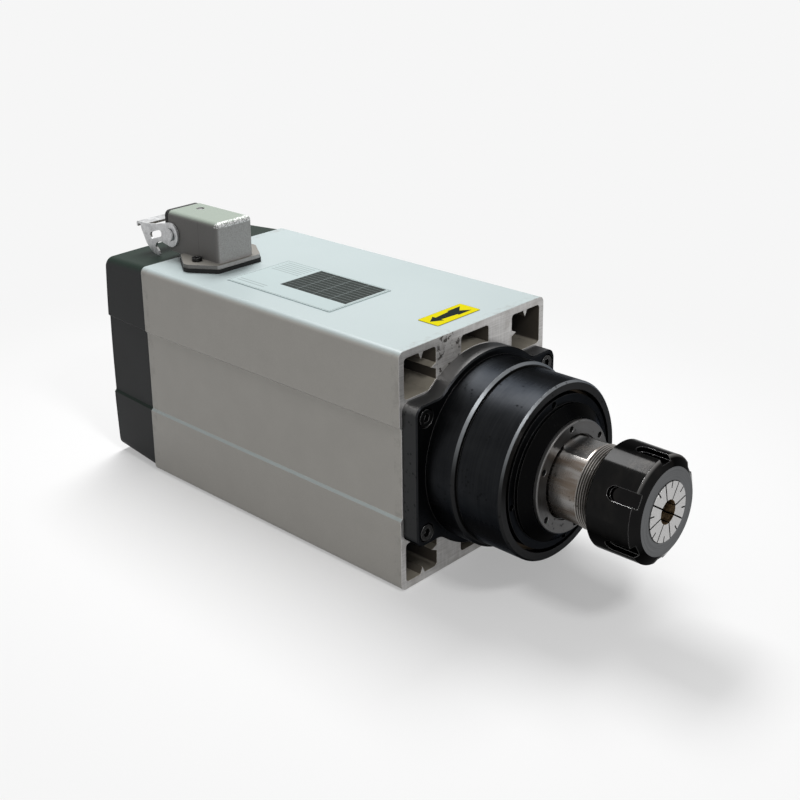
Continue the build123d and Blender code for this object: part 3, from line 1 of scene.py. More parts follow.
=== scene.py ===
import bpy
import math
import numpy as np
from mathutils import Matrix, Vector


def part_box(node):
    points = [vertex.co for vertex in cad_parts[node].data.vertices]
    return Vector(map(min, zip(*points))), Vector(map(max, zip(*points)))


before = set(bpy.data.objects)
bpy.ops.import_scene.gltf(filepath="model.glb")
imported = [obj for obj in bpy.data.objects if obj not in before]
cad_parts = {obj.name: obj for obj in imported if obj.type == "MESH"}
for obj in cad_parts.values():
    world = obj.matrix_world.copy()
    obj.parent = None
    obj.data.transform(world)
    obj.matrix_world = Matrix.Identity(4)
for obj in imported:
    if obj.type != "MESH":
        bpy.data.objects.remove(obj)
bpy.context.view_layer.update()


# Motor housing
# The square body: an aluminium extrusion, sawn to length, with its bore, air ducts and a
# shallow band down each side. The outside is sprayed a pale satin grey, painted cooler and bluer
# on its top as a painted reflection, with a thin painted highlight along its corners. The sawn ends
# are bare, with fine mill marks, dark corrosion pits and stains, and a painted highlight at their
# edges. The ducts are painted darker deeper in, a painted shade, and their upward floors near the
# mouth are painted pale with dusty patches, a painted light.
def corners(node):
    """The lowest and the highest corner of a CAD node, as plain numbers in metres."""
    return [[float(value) for value in corner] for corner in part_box(node)]


HOUSING_END, HOUSING_SIDE, HOUSING_TOP = corners("motor_housing")[1]
AXIS_HEIGHT = HOUSING_TOP / 2
DUCT_SIDE_WALL = 0.0033
DUCT_TOP_WALL = 0.0040
PITTED_WEB = -0.0235
PITTED_WEB_REACH = 0.0130
PITTED_ABOVE = 0.1180


class Signal:
    """One output of a material's nodes. Arithmetic on it adds Math nodes to that material."""

    def __init__(self, recipe, socket):
        self.recipe, self.socket = recipe, socket

    def _maths(self, operation, *values):
        return self.recipe.node("Math", {"operation": operation}, dict(enumerate(values)))

    def __add__(self, other):
        return self._maths("ADD", self, other)

    def __sub__(self, other):
        return self._maths("SUBTRACT", self, other)

    def __rsub__(self, other):
        return self._maths("SUBTRACT", other, self)

    def __mul__(self, other):
        return self._maths("MULTIPLY", self, other)

    def __truediv__(self, other):
        return self._maths("DIVIDE", self, other)

    def __gt__(self, other):
        return self._maths("GREATER_THAN", self, other)

    def __lt__(self, other):
        return self._maths("LESS_THAN", self, other)

    def __abs__(self):
        return self._maths("ABSOLUTE", self)

    __radd__ = __add__
    __rmul__ = __mul__

    def wave(self):
        """The sine of a value in radians."""
        return self._maths("SINE", self)

    def root(self):
        """The square root."""
        return self._maths("SQRT", self)

    def fraction(self):
        """What is left over a whole number."""
        return self._maths("FRACT", self)

    def turn(self, other):
        """The angle of the point (other, self) about zero, in radians."""
        return self._maths("ARCTAN2", self, other)

    def highest(self, other):
        """The larger of two values. Of two masks, it is their union."""
        return self._maths("MAXIMUM", self, other)

    def within(self, low, high):
        """1 between the two values and 0 outside them."""
        return (self > low) * (self < high)

    def ramp(self, low, high, to_low=0.0, to_high=1.0):
        """Straight from to_low at low to to_high at high, and level beyond them."""
        return self.recipe.node(
            "MapRange", {"clamp": True}, {0: self, 1: low, 2: high, 3: to_low, 4: to_high}
        )

    def soft(self, low, high):
        """From 0 at low to 1 at high with a smooth start and end."""
        settings = {"clamp": True, "interpolation_type": "SMOOTHSTEP"}
        return self.recipe.node("MapRange", settings, {0: self, 1: low, 2: high})


class Recipe:
    """The nodes of a material or of the world."""

    def __init__(self, tree):
        self.tree = tree

    def node(self, kind, settings, values, out=0):
        """Adds a shader node of this kind, sets it, feeds its sockets and returns one output."""
        made = self.tree.nodes.new("ShaderNode" + kind)
        for key, value in settings.items():
            setattr(made, key, value)
        for key, value in values.items():
            if isinstance(value, Signal):
                self.tree.links.new(value.socket, made.inputs[key])
            else:
                made.inputs[key].default_value = value
        return Signal(self, made.outputs[out])

    def parts(self, vector):
        """The x, y and z of a vector."""
        made = self.node("SeparateXYZ", {}, {0: vector}).socket.node
        return [Signal(self, made.outputs[k]) for k in range(3)]

    def shown(self):
        """1 for what the camera sees, directly, in a gloss or through glass, and 0 for its light."""
        direct, gloss, glass = [
            self.node("LightPath", {}, {}, out=f"Is {kind} Ray")
            for kind in ("Camera", "Glossy", "Transmission")
        ]
        return direct.highest(gloss).highest(glass)


class Finish(Recipe):
    """A material: one Principled shader and the nodes that feed it."""

    def __init__(self, name):
        self.material = bpy.data.materials.new(name)
        self.material.use_nodes = True
        super().__init__(self.material.node_tree)
        self.shader = self.tree.nodes["Principled BSDF"]
        self.place = self.node("TexCoord", {}, {}, out="Object")
        self.x, self.y, self.z = self.parts(self.place)

    def facing(self):
        """The x, y and z of the surface's own direction."""
        return self.parts(self.node("TexCoord", {}, {}, out="Normal"))

    def about_axis(self):
        """The radius from the spindle's axis, and the turn round it in radians."""
        up = self.z - AXIS_HEIGHT
        return (self.y * self.y + up * up).root(), up.turn(self.y)

    def vector(self, x, y, z):
        """A vector of three signals or numbers."""
        return self.node("CombineXYZ", {}, {0: x, 1: y, 2: z})

    def stretched(self, x, y, z):
        """The place multiplied by a factor along each axis."""
        return self.node("VectorMath", {"operation": "MULTIPLY"}, {0: self.place, 1: (x, y, z)})

    def noise(self, scale, detail=2.0, rough=0.5, at=None):
        """Soft random values about 0.5, with features of 1/scale metres."""
        return self.node(
            "TexNoise", {},
            {"Vector": at or self.place, "Scale": scale, "Detail": detail, "Roughness": rough},
        )

    def spots(self, scale, size):
        """Small round spots, 1 in their middles, as wide as size cells of 1/scale metres."""
        away = self.node("TexVoronoi", {}, {"Vector": self.place, "Scale": scale}, out="Distance")
        return away.ramp(size * 0.5, size, 1.0, 0.0)

    def mix(self, factor, first, second):
        """The first colour where the factor is 0, the second where it is 1."""
        return self.node("Mix", {"data_type": "RGBA"}, {0: factor, 6: first, 7: second}, out=2)

    def feed(self, **values):
        """Sets or links the shader's sockets, named with _ for each space."""
        for key, value in values.items():
            socket = self.shader.inputs[key.replace("_", " ")]
            if isinstance(value, Signal):
                self.tree.links.new(value.socket, socket)
            else:
                socket.default_value = value

    def rounded(self, radius):
        """The surface's direction with every sharp corner rounded, and a mask of those corners.

        The mask follows 1 less the cosine of the angle between the rounded and the plain direction.
        """
        soft = self.node("Bevel", {"samples": 4}, {"Radius": radius})
        plain = self.node("NewGeometry", {}, {}, out="Normal")
        match = self.node("VectorMath", {"operation": "DOT_PRODUCT"}, {0: soft, 1: plain}, out="Value")
        return soft, (1 - match).ramp(0.02, 0.20)

    def bump(self, height, depth, normal=None):
        """A normal from a height signal of 0 to 1 that stands for depth metres."""
        values = {"Strength": 1.0, "Distance": depth, "Height": height}
        if normal is not None:
            values["Normal"] = normal
        return self.node("Bump", {}, values, out="Normal")

    def on(self, *nodes):
        """Puts this material on CAD nodes."""
        for name in nodes:
            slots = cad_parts[name].material_slots
            if not slots:
                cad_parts[name].data.materials.append(self.material)
            for slot in slots:
                slot.material = self.material


def colour(red, green, blue):
    """A linear colour."""
    return (red, green, blue, 1.0)


def grey(level, warm=0.0):
    """A linear grey, warmer (redder) for a positive warm and cooler for a negative one."""
    return colour(level * (1 + warm), level, level * (1 - warm))


enamel = Finish("housing_enamel")
face_x, _, face_z = enamel.facing()
depth = HOUSING_END - abs(enamel.x)
sawn = (abs(face_x) > 0.9) * (depth < 0.001)
lid = face_z.soft(0.2, 0.95)
between_sides = abs(enamel.y) < HOUSING_SIDE - DUCT_SIDE_WALL
between_walls = abs(enamel.z - AXIS_HEIGHT) < AXIS_HEIGHT - DUCT_TOP_WALL
inside = (1 - sawn) * between_sides * between_walls
mottle = enamel.noise(9.0, 3.0)
fine = enamel.noise(1500.0, 2.0)
cloud = enamel.noise(45.0, 5.0, 0.65)
corner, corner_mask = enamel.rounded(0.0006)

side_paint = enamel.mix(
    cloud.ramp(0.3, 0.7), colour(0.452, 0.436, 0.402), colour(0.485, 0.468, 0.432)
)
side_paint = enamel.mix(fine.ramp(0.3, 0.7) * 0.25, side_paint, colour(0.36, 0.34, 0.31))
# Painted reflection: the top is a cooler, bluer copy of the side's paint.
lid_paint_and_reflection = enamel.mix(
    mottle.ramp(0.3, 0.7), colour(0.388, 0.456, 0.460), colour(0.420, 0.488, 0.492)
)
painted = enamel.mix(lid, side_paint, lid_paint_and_reflection)
end_grime = enamel.noise(160.0, 4.0, 0.7).soft(0.45, 0.75) * (depth < 0.006) * (1 - sawn)
painted = enamel.mix(end_grime * 0.4, painted, grey(0.20, 0.10))
# Painted highlight: a thin bright line along the corners of the sides and ends.
painted = enamel.mix(corner_mask * (1 - lid) * 0.9, painted, grey(0.80, 0.02))

mill_marks = enamel.noise(34.0, 4.0, 0.7, at=enamel.stretched(1.0, 1.0, 26.0))
cross_marks = enamel.noise(40.0, 5.0, 0.75, at=enamel.stretched(1.0, 16.0, 1.0))
stains = enamel.noise(70.0, 4.0, 0.6).soft(0.50, 0.68)
on_web = (1 - abs(enamel.y - PITTED_WEB) / PITTED_WEB_REACH).soft(0.0, 0.4)
on_web = on_web * (enamel.z > PITTED_ABOVE)
pits = enamel.noise(300.0, 3.0, 0.65).soft(0.50, 0.56) * enamel.noise(100.0, 2.0).soft(0.42, 0.50)
pits = pits * (0.04 + 0.96 * on_web)
bare = enamel.mix(mill_marks.ramp(0.35, 0.65), grey(0.39, 0.02), grey(0.56, 0.02))
bare = enamel.mix(cross_marks.ramp(0.45, 0.7) * 0.5, bare, grey(0.66, 0.01))
bare = enamel.mix(stains * 0.45, bare, grey(0.26, 0.08))
bare = enamel.mix(pits * 0.9, bare, grey(0.030, 0.20))
# Painted highlight: a bright line along the corners of the sawn ends.
bare = enamel.mix(corner_mask * 0.65, bare, grey(0.86, 0.01))

# Painted shade and light: the ducts darken deeper in, and their upward floors near the mouth are
# painted pale, with dusty patches.
dust = enamel.noise(60.0, 3.0).ramp(0.3, 0.7)
duct_floor_painted_light = face_z.soft(0.3, 0.8) * (1 - depth.ramp(0.0, 0.045))
duct_painted_shading = enamel.mix(
    depth.ramp(0.0, 0.025), colour(0.060, 0.050, 0.038), colour(0.008, 0.008, 0.009)
)
duct_painted_shading = enamel.mix(duct_floor_painted_light * (0.6 + dust * 0.4), duct_painted_shading, colour(0.34, 0.310, 0.255))
# Painted highlight: a pale line along the corners at the duct mouths.
duct_painted_shading = enamel.mix(corner_mask * (depth < 0.001), duct_painted_shading, colour(0.50, 0.46, 0.38))

enamel.feed(
    Base_Color=enamel.mix(inside, enamel.mix(sawn, painted, bare), duct_painted_shading),
    Metallic=sawn * 0.7,
    Roughness=sawn * -0.03 + inside * 0.25 + 0.43 + (fine - 0.5) * 0.1,
    Normal=enamel.bump(
        (1 - sawn) * fine * 0.5 + sawn * (mill_marks + cross_marks - pits), 0.00004, corner
    ),
)
enamel.on("motor_housing")


# Front bearing housing and cover
# The lugged flange and stepped barrel are one steel turning, and the cover with its cone is
# another. Both are blackened in an oxide bath. The turning marks run round them, and dust sits in
# the groove between the two. The barrel's chamfers are painted bright on their upper side, a
# painted highlight; the flange's upward outline and its sides facing across are painted lighter,
# painted light; and every corner carries a thin painted highlight.
FLANGE_FACE = HOUSING_END + 0.0110
REAR_BARREL_RADIUS = 0.0563
BARREL_STEP = FLANGE_FACE + 0.0203
RIM_BORE_RADIUS = 0.0483
COVER_FRONT, COVER_RADIUS, _ = corners("front_cover")[1]
CONE_LENGTH = 0.0060
CONE_RADII = (0.0342, 0.0412)


def oxide_finish(name, dark, pale, edge, shine):
    """A blackened turning: rings along the axis, clouds over it, and painted highlights at its corners
    in the edge tone.
    """
    finish = Finish(name)
    radius, turn = finish.about_axis()
    face_x, face_y, face_z = finish.facing()
    rings = finish.noise(1500.0, 3.0, 0.75, at=finish.vector(finish.x, radius, turn * 0.0006))
    clouds = finish.noise(16.0, 5.0, 0.65)
    specks = finish.spots(330.0, 0.30) * finish.noise(60.0, 2.0).soft(0.5, 0.6)
    corner, corner_mask = finish.rounded(0.0004)

    slant = abs(face_x)
    on_flange = finish.x < FLANGE_FACE + 0.0001
    on_front_barrel = finish.x > BARREL_STEP - 0.0003
    front = face_x.soft(0.9, 0.99)
    cone = finish.x.within(COVER_FRONT - CONE_LENGTH, COVER_FRONT + 0.0005)
    cone = cone * radius.within(*CONE_RADII)
    groove = front * radius.within(COVER_RADIUS + 0.0001, RIM_BORE_RADIUS - 0.0001)
    # Painted highlight: the barrel's chamfers are bright on their upper side and dark below.
    chamfer = slant.within(0.45, 0.93) * (radius > 0.045) * (finish.x > BARREL_STEP - 0.0018)
    chamfer_painted_light = chamfer * finish.noise(160.0, 3.0, 0.7).ramp(0.2, 0.5, 0.75, 1.0)
    upper_painted_highlight = face_z.soft(0.05, 0.62)
    # Painted light: the flange's sides facing across are painted lighter.
    flank_painted_shading = abs(face_y).soft(0.85, 0.98) * on_flange
    # Painted highlight: the upward-facing outline of the flange is painted lighter.
    flange_top_painted_highlight = (slant < 0.3) * on_flange * (radius > REAR_BARREL_RADIUS + 0.0007) * face_z.soft(0.1, 0.8)

    tone = finish.mix(clouds.ramp(0.35, 0.68), dark, pale)
    tone = finish.mix(rings.ramp(0.4, 0.7) * 0.25, tone, grey(pale[1] * 1.6, -0.04))
    tone = finish.mix(cone, tone, grey(0.003))
    tone = finish.mix(
        front * (radius > RIM_BORE_RADIUS + 0.0001) * on_front_barrel, tone, grey(0.034, 0.01)
    )
    tone = finish.mix(
        groove * on_front_barrel * clouds.ramp(0.3, 0.6, 0.4, 1.0), tone, colour(0.060, 0.046, 0.032)
    )
    # Painted highlight: a thin line of the edge tone along every corner.
    tone = finish.mix(corner_mask * 0.8, tone, edge)
    tone = finish.mix(chamfer_painted_light, tone, finish.mix(upper_painted_highlight, grey(0.020, -0.02), grey(0.19, -0.05)))
    tone = finish.mix(flank_painted_shading, tone, grey(0.034, -0.01))
    tone = finish.mix(flange_top_painted_highlight, tone, grey(0.15, 0.01))
    finish.feed(
        Base_Color=finish.mix(specks * 0.5, tone, grey(0.006)),
        Metallic=0.95,
        Specular_Tint=colour(0.25, 0.27, 0.30),
        Roughness=shine + rings * 0.14 + clouds * 0.08 + specks * 0.3 + flange_top_painted_highlight * 0.1 - cone * 0.12,
        Normal=finish.bump(rings - specks, 0.000012, corner),
    )
    return finish


oxide = oxide_finish(
    "turned_black_oxide", colour(0.0078, 0.0083, 0.0093), colour(0.0185, 0.0195, 0.0210),
    grey(0.050, 0.02), 0.25,
)
oxide.on("front_bearing_housing", "front_cover")


# Balance ring and bearing lock nut
# Two steel rings that turn with the shaft. They are turned like the housing but oxidised only to
# a satin grey. The ring carries the small balancing holes, the nut clamps the front bearings.
# The pale edge tone of these rings is a painted highlight at their corners.
satin = oxide_finish(
    "satin_oxide_ring", colour(0.085, 0.083, 0.081), colour(0.125, 0.121, 0.117),
    grey(0.45, 0.01), 0.22,
)
satin.on("balance_ring", "bearing_lock_nut")


# Socket screws
# Forged alloy steel with a black heat-treated skin, a little rougher than the turnings. Every
# corner is painted bright, partly wear of the heads by the key and partly a painted highlight.
screw_black = Finish("black_screw_steel")
speck = screw_black.noise(700.0, 3.0)
corner, corner_mask = screw_black.rounded(0.0004)
screw_tone = screw_black.mix(speck.ramp(0.4, 0.7), grey(0.010), grey(0.035))
# Painted highlight and wear: a bright line along every corner.
screw_black.feed(
    Base_Color=screw_black.mix(corner_mask, screw_tone, grey(0.14)),
    Metallic=0.9,
    Roughness=0.26 + speck * 0.15,
    Normal=screw_black.bump(speck, 0.00002, corner),
)
screw_black.on("flange_screws", "shield_screws", "cover_screws", "foot_screws")


# Spindle shaft, spacers, spring and ring
# The shaft is ground steel with two wrench flats and a cut thread. Oil has dried on its neck in
# lengthwise brown smears, with a few rust pits. The spacers, the coned spring and the fan's
# spring ring are of the same bright steel.
FLAT_RADIUS = 0.02415
THREAD_START, THREAD_END = 0.2103, 0.2433
THREAD_ROOT_RADIUS, THREAD_CREST_RADIUS = 0.0243, 0.0248

ground = Finish("ground_shaft_steel")
radius, turn = ground.about_axis()
marks = ground.noise(2200.0, 3.0, 0.7, at=ground.vector(ground.x, radius, turn * 0.001))
round_x, round_y = turn.wave() * 2.2, (turn + math.pi / 2).wave() * 2.2
smears = ground.noise(1.0, 4.0, 0.6, at=ground.vector(ground.x * 14.0, round_x, round_y))
rust = ground.spots(520.0, 0.34) * ground.noise(85.0, 2.0).soft(0.52, 0.62)
flat = radius < FLAT_RADIUS
threaded = ground.x.within(THREAD_START, THREAD_END)
# Painted shade and highlight: the thread is dark in its roots and pale on its crests.
crest = radius.soft(THREAD_ROOT_RADIUS, THREAD_CREST_RADIUS)
thread_tone = ground.mix(crest, grey(0.030, 0.15), grey(0.32, 0.05))
steel = ground.mix(smears.soft(0.38, 0.64), grey(0.250, 0.03), colour(0.125, 0.098, 0.076))
steel = ground.mix(flat * 0.6, steel, grey(0.110, -0.02))
steel = ground.mix(threaded, steel, thread_tone)
steel = ground.mix(rust * 0.8, steel, colour(0.025, 0.016, 0.010))
ground.feed(
    Base_Color=steel,
    Metallic=1.0,
    Specular_Tint=grey(0.6),
    Roughness=0.15 + marks * 0.12 + smears.soft(0.4, 0.6) * 0.08 + rust * 0.3 + threaded * 0.12,
    Normal=ground.bump(marks - rust, 0.000008),
)
ground.on("spindle_shaft", "preload_spring", "fan_circlip", "inner_spacer", "outer_spacer")


# Bearings
# Hardened chromium steel, ground and lapped to a bright sheen: the rings of the front pair and of
# the rear bearing, and their balls.
race = Finish("bearing_steel")
sheen = race.noise(300.0, 2.0)
race.feed(
    Base_Color=race.mix(sheen, grey(0.55), grey(0.65)), Metallic=1.0, Roughness=0.1 + sheen * 0.06
)
race.on(*[
    f"{place}_bearing_{piece}" for place in ("inboard", "outboard", "rear")
    for piece in ("outer_ring", "inner_ring", "balls")
])


# Ball cages
# Turned brass rings, drilled for the balls and dulled by grease.
brass = Finish("cage_brass")
tone = brass.noise(200.0, 3.0)
brass.feed(
    Base_Color=brass.mix(tone, colour(0.48, 0.30, 0.09), colour(0.62, 0.42, 0.16)),
    Metallic=1.0,
    Roughness=0.3 + tone * 0.1,
)
brass.on("inboard_bearing_cage", "outboard_bearing_cage", "rear_bearing_cage")


# Stator and rotor stacks
# Punched sheets of silicon steel, stacked along the axis and pressed into the housing and onto
# the shaft. The edges of the sheets show as fine rings.
SHEET_THICKNESS = 0.0005

lamination = Finish("laminated_steel")
sheet = (lamination.x * (math.tau / SHEET_THICKNESS)).wave() * 0.5 + 0.5
lamination.feed(
    Base_Color=lamination.mix(sheet, grey(0.16), grey(0.30)),
    Metallic=0.8,
    Roughness=0.4 + sheet * 0.1,
    Normal=lamination.bump(sheet, 0.00005),
)
lamination.on("stator_core", "rotor_core")


# End windings
# The copper wire that loops from slot to slot at both ends of the stator, laced, pressed round
# and dipped in brown varnish.
copper = Finish("varnished_winding")
strand = copper.noise(500.0, 3.0, at=copper.stretched(0.2, 1.0, 1.0))
copper.feed(
    Base_Color=copper.mix(
        strand.ramp(0.3, 0.7), colour(0.30, 0.07, 0.02), colour(0.55, 0.20, 0.06)
    ),
    Roughness=0.3 + strand * 0.1,
    Normal=copper.bump(strand, 0.0004),
)
copper.on("stator_winding_front", "stator_winding_rear")


# Rear end shield and rotor end rings
# Die-cast aluminium, left as cast with a fine grain. The shield is screwed to the housing's rear
# end, and the rings are cast onto the rotor's stack.
cast = Finish("cast_aluminium")
grain = cast.noise(500.0, 3.0)
cast.feed(
    Base_Color=cast.mix(grain, grey(0.42), grey(0.56)),
    Metallic=0.9,
    Roughness=0.4 + grain * 0.1,
    Normal=cast.bump(grain, 0.00008),
)
cast.on("rear_end_shield", "rotor_end_ring_front", "rotor_end_ring_rear")


# Collet
# Hardened steel, slit from both ends into sixteen springy fingers. Its ground face is pale, and
# the bore is brown with old oil.
COLLET_FACE = corners("collet")[1][0]
COLLET_BORE_RADIUS = 0.0070

sleeve = Finish("ground_collet_steel")
radius, _ = sleeve.about_axis()
lapped = sleeve.noise(900.0, 3.0, 0.7)
oiled = sleeve.noise(240.0, 4.0, 0.7)
front_face = sleeve.x > COLLET_FACE - 0.0001
face_tone = sleeve.mix(lapped.ramp(0.3, 0.7), grey(0.50, 0.01), grey(0.62, 0.01))
bore_tone = sleeve.mix(
    oiled.ramp(0.35, 0.62), colour(0.030, 0.018, 0.010), colour(0.42, 0.30, 0.17)
)
sleeve.feed(
    Base_Color=sleeve.mix(
        radius < COLLET_BORE_RADIUS + 0.00005, sleeve.mix(front_face, grey(0.05), face_tone), bore_tone
    ),
    Metallic=0.85 - front_face * 0.35,
    Roughness=0.32 + lapped * 0.16,
    Normal=sleeve.bump(lapped, 0.00001),
)
sleeve.on("collet")


# Collet nut
# Blackened and polished steel with six spanner slots. The ring round its mouth is ground satin
# grey. Every corner, those of the slots too, is a thin bright line, partly wear and partly a
# painted highlight, and the upper part of the front edge carries a painted highlight.
NUT_FRONT, NUT_RADIUS, _ = corners("collet_nut")[1]
NUT_MOUTH_RADIUS = 0.0251
NUT_BEVEL_REACH = 0.0127

nut_black = Finish("polished_black_nut")
radius, turn = nut_black.about_axis()
face_x, _, face_z = nut_black.facing()
turning = nut_black.noise(1700.0, 3.0, 0.7, at=nut_black.vector(nut_black.x, radius, turn * 0.0004))
scuffs = nut_black.noise(26.0, 5.0, 0.7, at=nut_black.vector(nut_black.x * 3.0, radius, turn * 0.05))
mouth = (nut_black.x > NUT_FRONT - 0.00005) * (radius < NUT_MOUTH_RADIUS + 0.0001)
# Painted highlight: the upper part of the front edge is painted bright.
upper_painted_highlight = face_x.within(0.15, 0.95) * face_z.soft(0.15, 0.6)
upper_painted_highlight = upper_painted_highlight * (nut_black.x > NUT_FRONT - NUT_BEVEL_REACH)
upper_painted_highlight = upper_painted_highlight * radius.soft(NUT_RADIUS - 0.0024, NUT_RADIUS - 0.0002)
corner, corner_mask = nut_black.rounded(0.0005)
shell = nut_black.mix(scuffs.soft(0.45, 0.75), grey(0.0090), grey(0.0130, 0.04))
# A thin bright line along every corner, partly wear and partly a painted highlight.
shell = nut_black.mix(corner_mask, shell, grey(0.13, 0.01))
shell = nut_black.mix(upper_painted_highlight, shell, grey(0.22, 0.03))
ring_tone = nut_black.mix(turning.ramp(0.3, 0.7), grey(0.135, -0.02), grey(0.185, -0.02))
nut_black.feed(
    Base_Color=nut_black.mix(mouth, shell, ring_tone),
    Metallic=0.95,
    Specular_Tint=grey(0.30),
    Roughness=0.05 + turning * 0.06 + scuffs * 0.05 + mouth * 0.24,
    Normal=nut_black.bump(turning, 0.000008, corner),
)
nut_black.on("collet_nut")


# Rear cover and fan
# Moulded charcoal plastic with a fine spark-eroded texture. Its top is painted darker and greener, a
# painted reflection, and its corners carry a thin painted highlight. The cover is screwed over the
# fan, which is pushed onto the end of the shaft.
charcoal = Finish("charcoal_moulding")
pebble = charcoal.noise(1600.0, 2.0)
shade = charcoal.noise(12.0, 3.0)
upper = charcoal.facing()[2].soft(0.1, 0.9)
corner, corner_mask = charcoal.rounded(0.0006)
side_tone = charcoal.mix(shade.ramp(0.3, 0.7), grey(0.031, -0.02), grey(0.039, -0.03))
# Painted reflection: the top is a darker, greener copy of the moulding.
top_painted_reflection = charcoal.mix(
    shade.ramp(0.3, 0.7), colour(0.004, 0.013, 0.008), colour(0.007, 0.018, 0.012)
)
# Painted highlight: a pale line along the corners.
charcoal.feed(
    Base_Color=charcoal.mix(corner_mask * 0.4, charcoal.mix(upper, side_tone, top_painted_reflection), grey(0.09)),
    Roughness=0.52 + pebble * 0.12,
    Specular_IOR_Level=0.12,
    Normal=charcoal.bump(pebble, 0.00005, corner),
)
charcoal.on("rear_cover", "fan")


# Connector hood
# A die-cast hood with a screw foot, in grey powder coat over the parting line of its mould. The
# coat is rubbed through to the metal along the front top corner. Its sides are painted darker, a
# painted shade, the crown's top lighter and greener, a painted light, the foot's top darker, a
# painted shade, and its corners carry a thin painted highlight.
HOOD_TOP = corners("connector_hood")[1][2]
HOOD_FRONT_CORNER = -0.0748
HOOD_FOOT_TOP = 0.1570
PARTING_LINE = -0.0920

powder = Finish("grey_powder_coat")
_, face_y, face_z = powder.facing()
coat_up = face_z.soft(0.2, 0.95)
# Painted shade: the hood's sides facing across are painted darker.
flank_painted_shading = abs(face_y).soft(0.5, 0.9)
peel = powder.noise(1300.0, 2.0)
tint = powder.noise(40.0, 3.0)
corner, corner_mask = powder.rounded(0.0005)
# Painted light and shade: the crown's top is lighter and greener, the foot's top darker.
crown_painted_light = powder.mix(tint, colour(0.240, 0.294, 0.240), colour(0.268, 0.322, 0.268))
foot_painted_shade = powder.mix(tint, colour(0.170, 0.160, 0.138), colour(0.195, 0.183, 0.158))
flank_painted_shade = powder.mix(tint, grey(0.086, 0.06), grey(0.102, 0.06))
coat = powder.mix(peel.ramp(0.35, 0.65), grey(0.275, 0.025), grey(0.350, 0.010))
coat = powder.mix(flank_painted_shading * 0.8, coat, flank_painted_shade)
coat = powder.mix(coat_up * 0.85, coat, powder.mix(powder.z > HOOD_FOOT_TOP, foot_painted_shade, crown_painted_light))
# Painted highlight: a pale line along the corners.
coat = powder.mix(corner_mask * 0.5, coat, grey(0.42, 0.02))
rubbed = (powder.x > HOOD_FRONT_CORNER) * (powder.z > HOOD_TOP - 0.0032)
rubbed = rubbed * powder.noise(900.0, 3.0, 0.7).ramp(0.46, 0.56)
coat = powder.mix(rubbed * 0.8, coat, grey(0.85))
parting = powder.x.within(PARTING_LINE - 0.0002, PARTING_LINE + 0.0002) * (1 - coat_up)
powder.feed(
    Base_Color=powder.mix(parting * 0.45, coat, grey(0.05)),
    Metallic=rubbed * 0.6,
    Roughness=0.50 + peel * 0.12 - rubbed * 0.2,
    Specular_IOR_Level=0.35,
    Normal=powder.bump(peel, 0.00012, corner),
)
powder.on("connector_hood")


# Gasket and mouth seal
# Moulded black rubber with a faint pale bloom. The gasket is clamped under the hood's foot, and
# the seal lies round its mouth.
rubber = Finish("black_rubber")
bloom = rubber.noise(500.0, 3.0)
rubber.feed(
    Base_Color=rubber.mix(bloom.ramp(0.4, 0.8), grey(0.005), grey(0.014)),
    Roughness=0.50 + bloom * 0.15,
    Specular_IOR_Level=0.25,
    Normal=rubber.bump(bloom, 0.00006),
)
rubber.on("connector_gasket", "mouth_seal")


# Contact block
# Glass-filled plastic in beige, moulded with faint flow marks and held in the hood by a screw.
beige = Finish("beige_insert")
flow = beige.noise(200.0, 2.0)
beige.feed(
    Base_Color=beige.mix(flow, colour(0.50, 0.44, 0.34), colour(0.58, 0.52, 0.42)),
    Roughness=0.45 + flow * 0.1,
)
beige.on("contact_insert")


# Locking lever, studs, contact screw and pins
# The bail is stamped from sheet steel and pivots on two riveted studs. Lever, studs, screw and
# pins have a clear zinc plate, cloudy where it has dulled.
zinc = Finish("zinc_plate")
cloudy = zinc.noise(330.0, 4.0, 0.7)
dull = zinc.noise(90.0, 3.0).soft(0.4, 0.65)
zinc.feed(
    Base_Color=zinc.mix(cloudy.ramp(0.3, 0.7), grey(0.36, -0.01), grey(0.60, -0.01)),
    Metallic=0.9,
    Roughness=0.24 + cloudy * 0.2 + dull * 0.1,
    Normal=zinc.bump(cloudy, 0.00005),
)
zinc.on("locking_lever", "pivot_studs", "insert_screw", "contact_pins")


# Rating plate
# A pale film glued to the housing's top, printed with a thin outline, a black block of blank
# cells and faint rules beside it.
def middle_and_half(node):
    """The middle of a CAD node and half its size, each as x, y and z."""
    low, high = corners(node)
    return [(a + b) / 2 for a, b in zip(low, high)], [(b - a) / 2 for a, b in zip(low, high)]


PLATE_MIDDLE, PLATE_HALF = middle_and_half("rating_plate")
OUTLINE_X, OUTLINE_Y = PLATE_HALF[0] - 0.00100, PLATE_HALF[1] - 0.00075
OUTLINE_WIDTH = 0.0003
BLOCK_X, BLOCK_Y = (-0.0205, 0.0393), (-0.0280, 0.0087)
CELL_LENGTH, CELL_WIDTH = 0.0150, 0.00367
RULED_X = (-0.0500, -0.0240)
RULED_NEAR, RULED_FAR = (-0.0400, -0.0330), (-0.0110, 0.0080)
RULE_PITCH = 0.0030

